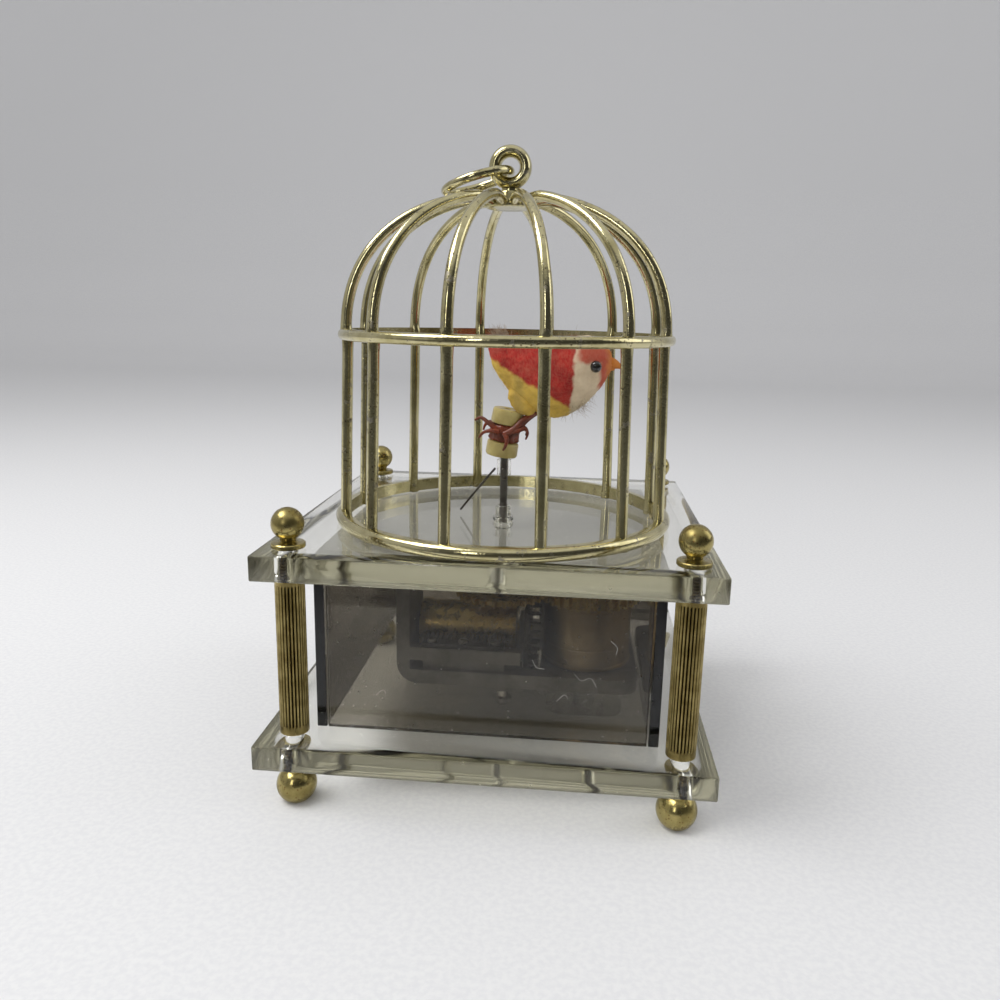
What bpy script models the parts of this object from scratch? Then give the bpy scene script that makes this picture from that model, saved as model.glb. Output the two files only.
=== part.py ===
# Birdcage music box: clear plates on brass columns, a wire cage with a turning bird above,
# and a wound movement in a smoked box between the plates. All sizes in metres.
import math

import bmesh
import bpy
from mathutils import Matrix, Vector

# Clearances
GAP = 0.0003
RUNNING_GAP = 0.0003
BORE_GAP = 0.0003

# Clear plates and what stands between them
PLATE_BORDER_X = 0.00575
PLATE_BORDER_Y = 0.0062
BOTTOM_PLATE_WIDER = 0.0006
BOTTOM_PLATE_DEEPER = 0.0012
PLATE_HOLE_RADIUS = 0.00185
PLATE_THICKNESS = 0.005
PLATE_EDGE = 0.0003
FOOT_HEIGHT = 0.010
COLUMN_LENGTH = 0.0331
COLUMN_BESIDE_BOX = 0.00405
COLUMN_PAST_BOX_END = 0.0019
COLUMN_RADIUS = 0.0029
COLUMN_FLUTES = 20
FLUTE_DEPTH = 0.00035
STUD_RADIUS = 0.00125
STUD_TIP_RADIUS = 0.0009

# Ball feet and ball finials
FOOT_BALL_RADIUS = 0.00405
FOOT_FLAT_RADIUS = 0.0021
FOOT_NECK_RADIUS = 0.0023
FLANGE_RADIUS = 0.0033
FLANGE_THICKNESS = 0.001
FINIAL_BALL_RADIUS = 0.00316
FINIAL_NECK_RADIUS = 0.0016
FINIAL_NECK_HEIGHT = 0.0009

# Smoked box
BOX_WIDTH = 0.0684
BOX_DEPTH = 0.073
BOX_WALL = 0.002

# Cage
CAGE_FROM_SPINDLE_X = -0.0002
CAGE_FROM_SPINDLE_Y = 0.0022
BASE_HOOP_RADIUS = 0.03655
BASE_HOOP_WIDTH = 0.0025
BASE_HOOP_HEIGHT = 0.0028
MIDDLE_HOOP_RADIUS = 0.0354
MIDDLE_HOOP_WIDTH = 0.0024
MIDDLE_HOOP_HEIGHT = 0.0022
MIDDLE_HOOP_ABOVE_PLATE = 0.0399
BAR_COUNT = 12
BAR_OFFSET = math.radians(16.5)
BAR_RADIUS = 0.00115
BAR_COVER = 0.0006
DOME_RISE = 0.0284
DOME_FULLNESS = 2.25
DOME_BULGE = 0.00035
DOME_STEPS = 9
DIP_RADIUS = 0.009
CROWN_DIP = 0.00075
CROWN_RADIUS = 0.005
CROWN_THICKNESS = 0.0009
HUB_RADIUS = 0.0023
HUB_HEIGHT = 0.0037
EYE_OUTER_RADIUS = 0.0044
EYE_HOLE_RADIUS = 0.0019
EYE_HALF_DEPTH = 0.002
EYE_STEM_RADIUS = 0.00145
RING_OUTER_RADIUS = 0.00785
RING_WIRE_RADIUS = 0.0009
RING_DROOP = math.radians(17)

# Spindle and perch
SPINDLE_FROM_DRUM_X = -0.0196
SPINDLE_FROM_DRUM_Y = -0.0075
SPINDLE_RADIUS = 0.00085
BUSH_RADIUS = 0.00165
BUSH_FLANGE_RADIUS = 0.0023
BUSH_FLANGE_THICKNESS = 0.0008
BUSH_ABOVE_PLATE = 0.0035
BUSH_BELOW_PLATE = 0.0012
SLEEVE_WALL = 0.0004
SLEEVE_LENGTH = 0.0034
SLEEVE_UNDER_SPOOL = 0.0007
WIRE_RADIUS = 0.00025
WIRE_REACH_X = -0.0102
WIRE_REACH_Y = 0.0055
SPOOL_ABOVE_PLATE = 0.0145
SPOOL_RADIUS = 0.0034
SPOOL_WAIST_RADIUS = 0.0021
SPOOL_DISC = 0.0033
SPOOL_WAIST = 0.0038
SPOOL_LEAN = math.radians(9)
SPOOL_EYELET_RADIUS = 0.0009
SPOOL_EYELET_DEPTH = 0.002
SPOOL_SHIFT = -0.0008
SPINDLE_INTO_SPOOL = 0.003

# Bird
BIRD_LENGTH = 0.0264
BIRD_HEIGHT = 0.0172
BIRD_WIDTH = 0.0136
BIRD_TAIL_END = -0.004
BIRD_ABOVE_SPOOL = 0.0073
HEAD_START_SHARE = 0.71
EYE_BEAD_RADIUS = 0.00115
BEAK_LENGTH = 0.0024
BEAK_RADIUS = 0.0012
TAIL_LENGTH = 0.0046
TAIL_RADIUS = 0.0012
TAIL_TIP_RADIUS = 0.0005
TAIL_SEAT_SHARE = 0.36
LEG_RADIUS = 0.00075
LEG_SPREAD = 0.0016
CLAW_RADIUS = 0.0005
CLAW_CURL = 0.0012
FOOT_COLLAR_WALL = 0.0007

# Movement: bedplate, drum and wheels
BED_PAST_DRUM = 0.0115
BED_BEFORE_DRUM = 0.0133
BED_BEHIND_DRUM = 0.0225
BED_THICKNESS = 0.0032
BED_LIFT = 0.0013
BED_CORNER = 0.004
BED_WALL = 0.003
BED_WALL_ROUND = 0.0045
BED_WALL_HEIGHT = 0.0194
LEDGE_LIP = 0.003
LEDGE_RECESS = 0.0012
BOSS_RADIUS = 0.0029
FRONT_BOSS_FROM_SPINDLE = 0.0009
BED_SCREW_RADIUS = 0.0009
SCREW_HEAD_RADIUS = 0.0021
SCREW_HEAD_HEIGHT = 0.0013
DRUM_TO_WALL = 0.0122
DRUM_BEFORE_MIDDLE = 0.002
DRUM_RADIUS = 0.010
DRUM_HEIGHT = 0.0143
DRUM_WALL = 0.0006
DRUM_RIM = 0.0003
DRUM_RIM_HEIGHT = 0.0006
ARBOR_RADIUS = 0.0012
ARBOR_CORE_RADIUS = 0.0018
SPRING_THICKNESS = 0.0004
SPRING_TURNS = 4
WHEEL_THICKNESS = 0.0014
DRUM_WHEEL_THICKNESS = 0.0034
CROWN_TOOTH_REACH = 0.00055
CROWN_DISC_THICKNESS = 0.0012
TOOTH_CLEARANCE = 0.00025
DRUM_TEETH = 32
SPINDLE_TEETH = 27
CROWN_TEETH = 26
GOVERNOR_PINION_TEETH = 9
GOVERNOR_TEETH = 16
GOVERNOR_MODULE = 0.00055
TOOTH_SHARE = 0.40
CROWN_TOOTH_SHARE = 0.32

# Movement: tune cylinder and comb
CYLINDER_RADIUS = 0.0055
CYLINDER_LENGTH = 0.0185
CYLINDER_CAP = 0.002
CYLINDER_CAP_LIP = 0.0003
CYLINDER_BEFORE_DRUM = 0.0387
CYLINDER_ARBOR_RADIUS = 0.0009
BRACKET_THICKNESS = 0.0011
BRACKET_WIDTH = 0.006
COMB_TEETH = 18
COMB_PITCH = 0.00102
COMB_SLIT = 0.0003
COMB_THICKNESS = 0.0008
COMB_TOOTH_LENGTH = 0.004
COMB_HEEL = 0.0029
COMB_TIP_GAP = 0.0005

# Movement: governor and key
GOVERNOR_ANGLE = math.radians(110)
GOVERNOR_ARBOR_RADIUS = 0.0007
WORM_CORE_RADIUS = 0.0008
WORM_RIDGE = 0.0005
WORM_STARTS = 2
WORM_CLEARANCE = 0.00015
FAN_REACH = 0.0038
FAN_BLADE = 0.0004
FAN_WIDTH = 0.0012
KEY_WIDTH = 0.018
KEY_BLADE_HEIGHT = 0.0062
KEY_BLADE_THICKNESS = 0.0014
KEY_HUB_RADIUS = 0.0026
KEY_FLOOR_CLEARANCE = 0.0014

# Places that follow from the sizes above: the movement stands off the smoked box's right wall,
# the spindle and the cage stand over the movement, and the columns and plates go round the box
DRUM_X = BOX_WIDTH / 2 - BOX_WALL - DRUM_TO_WALL
DRUM_Y = -DRUM_BEFORE_MIDDLE
SPINDLE_X = DRUM_X + SPINDLE_FROM_DRUM_X
SPINDLE_Y = DRUM_Y + SPINDLE_FROM_DRUM_Y
CAGE_X = SPINDLE_X + CAGE_FROM_SPINDLE_X
CAGE_Y = SPINDLE_Y + CAGE_FROM_SPINDLE_Y
CYLINDER_START = DRUM_X - CYLINDER_BEFORE_DRUM
FRONT_BOSS_X = SPINDLE_X + FRONT_BOSS_FROM_SPINDLE
BED_LEFT = CYLINDER_START - 2 * GAP - BED_WALL
BED_RIGHT = DRUM_X + BED_PAST_DRUM
BED_FRONT = DRUM_Y - BED_BEFORE_DRUM
BED_BACK = DRUM_Y + BED_BEHIND_DRUM
COLUMN_SPACING_X = BOX_WIDTH + 2 * COLUMN_BESIDE_BOX
COLUMN_SPACING_Y = BOX_DEPTH + 2 * COLUMN_PAST_BOX_END
PLATE_WIDTH = COLUMN_SPACING_X + 2 * PLATE_BORDER_X
PLATE_DEPTH = COLUMN_SPACING_Y + 2 * PLATE_BORDER_Y
# Levels that follow from them
BOTTOM_PLATE_Z = FOOT_HEIGHT
FLOOR_Z = BOTTOM_PLATE_Z + PLATE_THICKNESS
TOP_PLATE_Z = FLOOR_Z + COLUMN_LENGTH
DECK_Z = TOP_PLATE_Z + PLATE_THICKNESS
HOOP_Z = DECK_Z + GAP
MIDDLE_HOOP_Z = DECK_Z + MIDDLE_HOOP_ABOVE_PLATE
BASE_BAR_RADIUS = BASE_HOOP_RADIUS - BAR_COVER - GAP - BAR_RADIUS
MIDDLE_BAR_RADIUS = MIDDLE_HOOP_RADIUS - BAR_COVER - GAP - BAR_RADIUS
DOME_RADIUS = MIDDLE_BAR_RADIUS + DOME_BULGE
DIP_SHARE = (1 - (DIP_RADIUS / DOME_RADIUS) ** DOME_FULLNESS) ** (1 / DOME_FULLNESS)
CROWN_Z = MIDDLE_HOOP_Z + DOME_RISE * DIP_SHARE - CROWN_DIP - BAR_RADIUS
EYE_TUBE_RADIUS = (EYE_OUTER_RADIUS - EYE_HOLE_RADIUS) / 2
EYE_RING_RADIUS = EYE_HOLE_RADIUS + EYE_TUBE_RADIUS
EYE_Z = CROWN_Z + HUB_HEIGHT + EYE_OUTER_RADIUS
RING_PIVOT_Z = EYE_Z - EYE_HOLE_RADIUS + GAP + RING_WIRE_RADIUS
SPOOL_Z = DECK_Z + SPOOL_ABOVE_PLATE
SPOOL_HEIGHT = 2 * SPOOL_DISC + SPOOL_WAIST
BED_Z = FLOOR_Z + BED_LIFT
BED_TOP_Z = BED_Z + BED_THICKNESS
DRUM_Z = BED_TOP_Z + GAP
DRUM_TOP_Z = DRUM_Z + DRUM_HEIGHT
WHEEL_Z = DRUM_TOP_Z + GAP
SPINDLE_WHEEL_Z = WHEEL_Z + DRUM_WHEEL_THICKNESS - WHEEL_THICKNESS
SPINDLE_FROM_DRUM = math.hypot(DRUM_X - SPINDLE_X, DRUM_Y - SPINDLE_Y)
WHEEL_MODULE = 2 * SPINDLE_FROM_DRUM / (DRUM_TEETH + SPINDLE_TEETH)
DRUM_WHEEL_RADIUS = WHEEL_MODULE * DRUM_TEETH / 2
SPINDLE_WHEEL_RADIUS = WHEEL_MODULE * SPINDLE_TEETH / 2
CROWN_WHEEL_RADIUS = WHEEL_MODULE * CROWN_TEETH / 2
CYLINDER_Z = WHEEL_Z + WHEEL_THICKNESS / 2 - CROWN_WHEEL_RADIUS
CYLINDER_END = CYLINDER_START + 2 * CYLINDER_CAP + CYLINDER_LENGTH
COMB_TIP_Y = DRUM_Y - CYLINDER_RADIUS - CYLINDER_CAP_LIP - COMB_TIP_GAP
COMB_BACK_Y = COMB_TIP_Y - COMB_TOOTH_LENGTH - COMB_HEEL
COMB_WIDTH = COMB_TEETH * COMB_PITCH
COMB_X = CYLINDER_START + CYLINDER_CAP + CYLINDER_LENGTH / 2
COMB_Z = CYLINDER_Z - COMB_THICKNESS
LEDGE_Z = COMB_Z - GAP

COLUMN_PLACES = {
    "front_left": (-COLUMN_SPACING_X / 2, -COLUMN_SPACING_Y / 2),
    "front_right": (COLUMN_SPACING_X / 2, -COLUMN_SPACING_Y / 2),
    "back_left": (-COLUMN_SPACING_X / 2, COLUMN_SPACING_Y / 2),
    "back_right": (COLUMN_SPACING_X / 2, COLUMN_SPACING_Y / 2),
}


def clear_scene():
    for item in list(bpy.data.objects):
        bpy.data.objects.remove(item, do_unlink=True)


def material(name, color, roughness, metallic=0.0, alpha=1.0):
    found = bpy.data.materials.get(name)
    if found:
        return found
    made = bpy.data.materials.new(name)
    made.use_nodes = True
    shader = made.node_tree.nodes["Principled BSDF"]
    shader.inputs["Base Color"].default_value = (*color, 1.0)
    shader.inputs["Roughness"].default_value = roughness
    shader.inputs["Metallic"].default_value = metallic
    shader.inputs["Alpha"].default_value = alpha
    return made


def finish(name, bm, finish_material, place=None, sharp=30):
    """Turn a bmesh into an object, faces outwards, with smooth round sides."""
    bmesh.ops.recalc_face_normals(bm, faces=bm.faces)
    mesh = bpy.data.meshes.new(name)
    bm.to_mesh(mesh)
    bm.free()
    mesh.materials.append(finish_material)
    mesh.shade_smooth()
    mesh.set_sharp_from_angle(angle=math.radians(sharp))
    item = bpy.data.objects.new(name, mesh)
    bpy.context.collection.objects.link(item)
    if place is not None:
        item.matrix_world = place
    return item


def at(x, y, z=0.0):
    return Matrix.Translation((x, y, z))


def along_x(x, y, z):
    """Place whose own Z axis lies along the world's X axis."""
    return at(x, y, z) @ Matrix.Rotation(math.radians(90), 4, "Y")


def add_turned(bm, profile, segments, place=Matrix.Identity(4)):
    """Turn a closed (radius, height) profile about Z; a point on the axis becomes a pole."""
    rings = []
    for radius, height in profile:
        if radius <= 0:
            rings.append([bm.verts.new(place @ Vector((0, 0, height)))])
            continue
        ring = []
        for step in range(segments):
            angle = 2 * math.pi * step / segments
            spot = Vector((radius * math.cos(angle), radius * math.sin(angle), height))
            ring.append(bm.verts.new(place @ spot))
        rings.append(ring)
    open_ends = len(rings[0]) == 1 and len(rings[-1]) == 1
    pairs = list(zip(rings, rings[1:]))
    if not open_ends:
        pairs.append((rings[-1], rings[0]))
    for lower, upper in pairs:
        for step in range(segments):
            after = (step + 1) % segments
            corners = [lower[step % len(lower)], lower[after % len(lower)],
                       upper[after % len(upper)], upper[step % len(upper)]]
            kept = []
            for corner in corners:
                if corner not in kept:
                    kept.append(corner)
            if len(kept) > 2:
                bm.faces.new(kept)


def ball_profile(radius):
    side = ball_points(radius, 0, -math.radians(68), math.radians(68), 6)
    return [(0, -radius)] + side + [(0, radius)]


def turned(name, profile, segments, finish_material, place=None, sharp=30):
    bm = bmesh.new()
    add_turned(bm, profile, segments)
    return finish(name, bm, finish_material, place, sharp)


def add_prism(bm, outline, low, high, place=Matrix.Identity(4)):
    """Extrude a flat outline of (x, y) points from height low to height high."""
    floor = [bm.verts.new(place @ Vector((x, y, low))) for x, y in outline]
    face = bm.faces.new(floor)
    raised = bmesh.ops.extrude_face_region(bm, geom=[face])["geom"]
    lift = place.to_3x3() @ Vector((0, 0, high - low))
    bmesh.ops.translate(bm, verts=[v for v in raised if isinstance(v, bmesh.types.BMVert)], vec=lift)


def prism(name, outline, low, high, finish_material, place=None, sharp=30):
    bm = bmesh.new()
    add_prism(bm, outline, low, high)
    return finish(name, bm, finish_material, place, sharp)


def rectangle(left, right, front, back):
    return [(left, front), (right, front), (right, back), (left, back)]


def rounded_rectangle(left, right, front, back, corner, steps=4):
    outline = []
    centres = [(right - corner, back - corner, 0), (left + corner, back - corner, 90),
               (left + corner, front + corner, 180), (right - corner, front + corner, 270)]
    for x, y, start in centres:
        for step in range(steps + 1):
            angle = math.radians(start + 90 * step / steps)
            outline.append((x + corner * math.cos(angle), y + corner * math.sin(angle)))
    return outline


def box(name, low, high, finish_material, edge=0.0):
    bm = bmesh.new()
    add_prism(bm, rectangle(low[0], high[0], low[1], high[1]), low[2], high[2])
    item = finish(name, bm, finish_material)
    if edge:
        bevel = item.modifiers.new("edge", "BEVEL")
        bevel.width = edge
        bevel.segments = 1
    return item


def tube_along(name, points, radius, resolution, finish_material):
    """A round rod through points, with closed ends."""
    curve = bpy.data.curves.new(name, "CURVE")
    curve.dimensions = "3D"
    curve.bevel_depth = radius
    curve.bevel_resolution = resolution
    curve.use_fill_caps = True
    spline = curve.splines.new("POLY")
    spline.points.add(len(points) - 1)
    for spot, point in zip(spline.points, points):
        spot.co = (*point, 1.0)
    curve.materials.append(finish_material)
    item = bpy.data.objects.new(name, curve)
    bpy.context.collection.objects.link(item)
    return item


def as_tool(item):
    """Hide an operand, which only shapes another piece."""
    item.hide_render = True
    item.display_type = "WIRE"
    return item


def boolean(item, operand, operation):
    as_tool(operand)
    step = item.modifiers.new(operation.lower(), "BOOLEAN")
    step.operation = operation
    step.object = operand
    step.solver = "EXACT"


def cut(item, operand):
    boolean(item, operand, "DIFFERENCE")


def join(item, operand):
    boolean(item, operand, "UNION")


def round_cutter(name, holes, low, high, segments=14):
    """One cutter that holds a round pin for each (x, y, radius)."""
    bm = bmesh.new()
    for x, y, radius in holes:
        add_turned(bm, [(0, low), (radius, low), (radius, high), (0, high)], segments, at(x, y))
    return finish(name, bm, material("cutter", (0.5, 0.5, 0.5), 0.5))


def gear_outline(teeth, pitch_radius, module, share, first=0.0):
    """Four points a tooth; the middle of the first tooth lies at the angle first."""
    outline = []
    pitch = 2 * math.pi / teeth
    tip = pitch_radius + 0.75 * module
    root = pitch_radius - 0.95 * module
    for tooth in range(teeth):
        middle = first + tooth * pitch
        for radius, turn in ((root, -0.62), (tip, -0.34), (tip, 0.34), (root, 0.62)):
            angle = middle + turn * share * pitch
            outline.append((radius * math.cos(angle), radius * math.sin(angle)))
    return outline


def ball_points(radius, centre, from_angle, to_angle, steps):
    """Points of a ball's side, (radius, height), between two angles above its equator."""
    points = []
    for step in range(steps + 1):
        angle = from_angle + (to_angle - from_angle) * step / steps
        points.append((radius * math.cos(angle), centre + radius * math.sin(angle)))
    return points


def make_plates():
    clear = material("clear_acrylic", (0.85, 0.87, 0.82), 0.05, 0.0, 0.35)
    half_x = PLATE_WIDTH / 2
    half_y = PLATE_DEPTH / 2
    rod_holes = [(x, y, PLATE_HOLE_RADIUS) for x, y in COLUMN_PLACES.values()]
    low_x = half_x + BOTTOM_PLATE_WIDER
    low_y = half_y + BOTTOM_PLATE_DEEPER
    bottom = box("bottom_plate", (-low_x, -low_y, BOTTOM_PLATE_Z), (low_x, low_y, FLOOR_Z),
                 clear, PLATE_EDGE)
    holes = list(rod_holes)
    holes.append((DRUM_X, DRUM_Y, ARBOR_RADIUS + BORE_GAP))
    holes += [(x, y, BED_SCREW_RADIUS + BORE_GAP) for x, y in boss_places()]
    cut(bottom, round_cutter("bottom_plate_holes", holes, BOTTOM_PLATE_Z - GAP, FLOOR_Z + GAP))
    top = box("top_plate", (-half_x, -half_y, TOP_PLATE_Z), (half_x, half_y, DECK_Z),
              clear, PLATE_EDGE)
    holes = rod_holes + [(SPINDLE_X, SPINDLE_Y, BUSH_RADIUS + BORE_GAP)]
    cut(top, round_cutter("top_plate_holes", holes, TOP_PLATE_Z - GAP, DECK_Z + GAP))


def fluted_outline():
    outline = []
    for flute in range(COLUMN_FLUTES):
        for depth, share in ((0, 0.0), (0, 0.5), (FLUTE_DEPTH, 0.75)):
            angle = 2 * math.pi * (flute + share) / COLUMN_FLUTES
            radius = COLUMN_RADIUS - depth
            outline.append((radius * math.cos(angle), radius * math.sin(angle)))
    return outline


def make_columns():
    brass = material("aged_brass", (0.62, 0.47, 0.20), 0.35, 1.0)
    low = FLOOR_Z + GAP
    high = TOP_PLATE_Z - GAP
    rod_low = FOOT_BALL_RADIUS + BORE_GAP
    rod_high = DECK_Z + FLANGE_THICKNESS + FINIAL_NECK_HEIGHT + FINIAL_BALL_RADIUS
    shoulder = DECK_Z - GAP
    for place, (x, y) in COLUMN_PLACES.items():
        column = prism("column_" + place, fluted_outline(), low, high, brass, at(x, y), 20)
        stud = turned("studs_" + place, [(0, rod_low), (STUD_RADIUS, rod_low), (STUD_RADIUS, shoulder),
                                         (STUD_TIP_RADIUS, shoulder), (STUD_TIP_RADIUS, rod_high),
                                         (0, rod_high)], 12, brass, at(x, y))
        join(column, stud)


def foot_profile():
    bore = STUD_RADIUS + BORE_GAP
    top = FOOT_HEIGHT - GAP
    under_flange = top - FLANGE_THICKNESS
    centre = math.sqrt(FOOT_BALL_RADIUS ** 2 - FOOT_FLAT_RADIUS ** 2)
    low_angle = -math.acos(FOOT_FLAT_RADIUS / FOOT_BALL_RADIUS)
    high_angle = math.acos(FOOT_NECK_RADIUS / FOOT_BALL_RADIUS)
    profile = [(0, 0)] + ball_points(FOOT_BALL_RADIUS, centre, low_angle, high_angle, 6)
    profile += [(FOOT_NECK_RADIUS, under_flange), (FLANGE_RADIUS, under_flange), (FLANGE_RADIUS, top)]
    profile += [(bore, top), (bore, FOOT_BALL_RADIUS), (0, FOOT_BALL_RADIUS)]
    return profile


def finial_profile():
    bore = STUD_TIP_RADIUS + BORE_GAP
    low = DECK_Z + GAP
    flange_top = low + FLANGE_THICKNESS
    neck_top = flange_top + FINIAL_NECK_HEIGHT
    start = -math.acos(FINIAL_NECK_RADIUS / FINIAL_BALL_RADIUS)
    centre = neck_top - FINIAL_BALL_RADIUS * math.sin(start)
    bore_top = DECK_Z + FLANGE_THICKNESS + FINIAL_NECK_HEIGHT + FINIAL_BALL_RADIUS + BORE_GAP
    profile = [(0, bore_top), (bore, bore_top), (bore, low), (FLANGE_RADIUS, low)]
    profile += [(FLANGE_RADIUS, flange_top), (FINIAL_NECK_RADIUS, flange_top)]
    side = ball_points(FINIAL_BALL_RADIUS, centre, start, math.radians(70), 6)
    return profile + side + [(0, centre + FINIAL_BALL_RADIUS)]


def make_feet_and_finials():
    brass = material("polished_brass", (0.72, 0.55, 0.24), 0.22, 1.0)
    for place, (x, y) in COLUMN_PLACES.items():
        turned("foot_" + place, foot_profile(), 14, brass, at(x, y), 40)
        turned("finial_" + place, finial_profile(), 14, brass, at(x, y), 40)


def make_smoked_box():
    smoke = material("smoked_acrylic", (0.10, 0.08, 0.06), 0.08, 0.0, 0.6)
    low = FLOOR_Z + GAP
    lid_top = TOP_PLATE_Z - GAP
    lid_low = lid_top - BOX_WALL
    high = lid_low - GAP
    half_x = BOX_WIDTH / 2
    half_y = BOX_DEPTH / 2
    inner = half_x - BOX_WALL - GAP
    lid = box("smoked_top", (-half_x, -half_y, lid_low), (half_x, half_y, lid_top), smoke)
    hole = (SPINDLE_X, SPINDLE_Y, BUSH_RADIUS + BORE_GAP)
    cut(lid, round_cutter("lid_hole", [hole], lid_low - GAP, lid_top + GAP))
    box("smoked_left", (-half_x, -half_y, low), (-half_x + BOX_WALL, half_y, high), smoke)
    box("smoked_right", (half_x - BOX_WALL, -half_y, low), (half_x, half_y, high), smoke)
    box("smoked_front", (-inner, -half_y, low), (inner, -half_y + BOX_WALL, high), smoke)
    box("smoked_back", (-inner, half_y - BOX_WALL, low), (inner, half_y, high), smoke)


def bar_route(angle):
    """A bar's centre line: up from the plate, leaning in a little, then over the full dome
    and a little down again to the crown."""
    route = [(BASE_BAR_RADIUS, HOOP_Z), (MIDDLE_BAR_RADIUS, MIDDLE_HOOP_Z)]
    power = 2 / DOME_FULLNESS
    last = math.acos((DIP_RADIUS / DOME_RADIUS) ** (1 / power))
    for step in range(1, DOME_STEPS + 1):
        turn = last * step / DOME_STEPS
        route.append((DOME_RADIUS * math.cos(turn) ** power,
                      MIDDLE_HOOP_Z + DOME_RISE * math.sin(turn) ** power))
    top = route[-1][1]
    reach = CROWN_RADIUS + GAP
    route += [((DIP_RADIUS + reach) / 2, top - CROWN_DIP / 8), (reach, top - CROWN_DIP)]
    return [Vector((CAGE_X + r * math.cos(angle), CAGE_Y + r * math.sin(angle), z)) for r, z in route]


def half_round_hoop(name, outer, width, height, low, finish_material):
    """A hoop that is flat inside and round outside."""
    inner = outer - width
    shoulder = outer - height / 4
    profile = [(inner, low), (shoulder, low), (outer, low + height * 0.3),
               (outer, low + height * 0.7), (shoulder, low + height), (inner, low + height)]
    return turned(name, profile, 40, finish_material, at(CAGE_X, CAGE_Y), 50)


def make_cage():
    gilt = material("champagne_plate", (0.72, 0.66, 0.50), 0.25, 1.0)
    hoops = [
        half_round_hoop("cage_base_hoop", BASE_HOOP_RADIUS, BASE_HOOP_WIDTH, BASE_HOOP_HEIGHT,
                        HOOP_Z, gilt),
        half_round_hoop("cage_middle_hoop", MIDDLE_HOOP_RADIUS, MIDDLE_HOOP_WIDTH,
                        MIDDLE_HOOP_HEIGHT, MIDDLE_HOOP_Z - MIDDLE_HOOP_HEIGHT / 2, gilt),
    ]
    slots = bmesh.new()
    for number in range(BAR_COUNT):
        angle = BAR_OFFSET + 2 * math.pi * number / BAR_COUNT
        tube_along(f"cage_bar_{number + 1:02d}", bar_route(angle), BAR_RADIUS, 2, gilt)
        low = HOOP_Z - MIDDLE_HOOP_HEIGHT
        high = MIDDLE_HOOP_Z + MIDDLE_HOOP_HEIGHT
        lean = (MIDDLE_BAR_RADIUS - BASE_BAR_RADIUS) / (MIDDLE_HOOP_Z - HOOP_Z)
        half = BAR_RADIUS + GAP
        rows = []
        for z in (low, high):
            middle = BASE_BAR_RADIUS + lean * (min(z, MIDDLE_HOOP_Z) - HOOP_Z)
            rows.append([(middle - 2 * half, -half), (middle + half * 0.5, -half),
                         (middle + half, -half * 0.5), (middle + half, half * 0.5),
                         (middle + half * 0.5, half), (middle - 2 * half, half)])
        turn = at(CAGE_X, CAGE_Y) @ Matrix.Rotation(angle, 4, "Z")
        loops = []
        for z, row in zip((low, high), rows):
            loops.append([slots.verts.new(turn @ Vector((x, y, z))) for x, y in row])
        slots.faces.new(loops[0])
        slots.faces.new(loops[1])
        for step in range(6):
            after = (step + 1) % 6
            slots.faces.new((loops[0][step], loops[0][after], loops[1][after], loops[1][step]))
    tool = finish("bar_slots", slots, gilt)
    for hoop in hoops:
        cut(hoop, tool)


def ring_profile(ring_radius, half_width, half_height, steps):
    points = []
    for step in range(steps):
        angle = 2 * math.pi * step / steps
        points.append((ring_radius + half_width * math.cos(angle), half_height * math.sin(angle)))
    return points


def make_crown_and_ring():
    gilt = material("champagne_plate", (0.72, 0.66, 0.50), 0.25, 1.0)
    rim_top = CROWN_Z + CROWN_THICKNESS
    hub_low = rim_top + CROWN_THICKNESS / 2
    hub_high = EYE_Z - EYE_OUTER_RADIUS - GAP
    stem_low = hub_high + 2 * GAP
    stem_high = EYE_Z - EYE_RING_RADIUS
    crown = turned("cage_crown", [
        (0, CROWN_Z), (CROWN_RADIUS * 0.92, CROWN_Z), (CROWN_RADIUS, CROWN_Z + CROWN_THICKNESS / 3),
        (CROWN_RADIUS, rim_top), (HUB_RADIUS * 1.2, hub_low), (HUB_RADIUS, hub_low + GAP),
        (HUB_RADIUS, hub_high), (EYE_STEM_RADIUS, stem_low), (EYE_STEM_RADIUS, stem_high),
        (0, stem_high)], 24, gilt, at(CAGE_X, CAGE_Y), 40)
    upright = at(CAGE_X, CAGE_Y, EYE_Z) @ Matrix.Rotation(math.radians(90), 4, "X")
    eye = turned("crown_eye", ring_profile(EYE_RING_RADIUS, EYE_TUBE_RADIUS, EYE_HALF_DEPTH, 10),
                 20, gilt, upright, 60)
    join(crown, eye)
    pivot = bpy.data.objects.new("ring_pivot", None)
    pivot.location = (CAGE_X, CAGE_Y, RING_PIVOT_Z)
    bpy.context.collection.objects.link(pivot)
    middle = RING_OUTER_RADIUS - RING_WIRE_RADIUS
    outline = ring_profile(middle, RING_WIRE_RADIUS, RING_WIRE_RADIUS, 8)
    ring = turned("hanging_ring", outline, 24, gilt, None, 60)
    ring.parent = pivot
    ring.location = (-middle * math.cos(RING_DROOP), 0, -middle * math.sin(RING_DROOP))
    ring.rotation_euler = (0, -RING_DROOP, 0)


def spool_place():
    return at(SPINDLE_X + SPOOL_SHIFT, SPINDLE_Y, SPOOL_Z) @ Matrix.Rotation(SPOOL_LEAN, 4, "Y")


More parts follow.
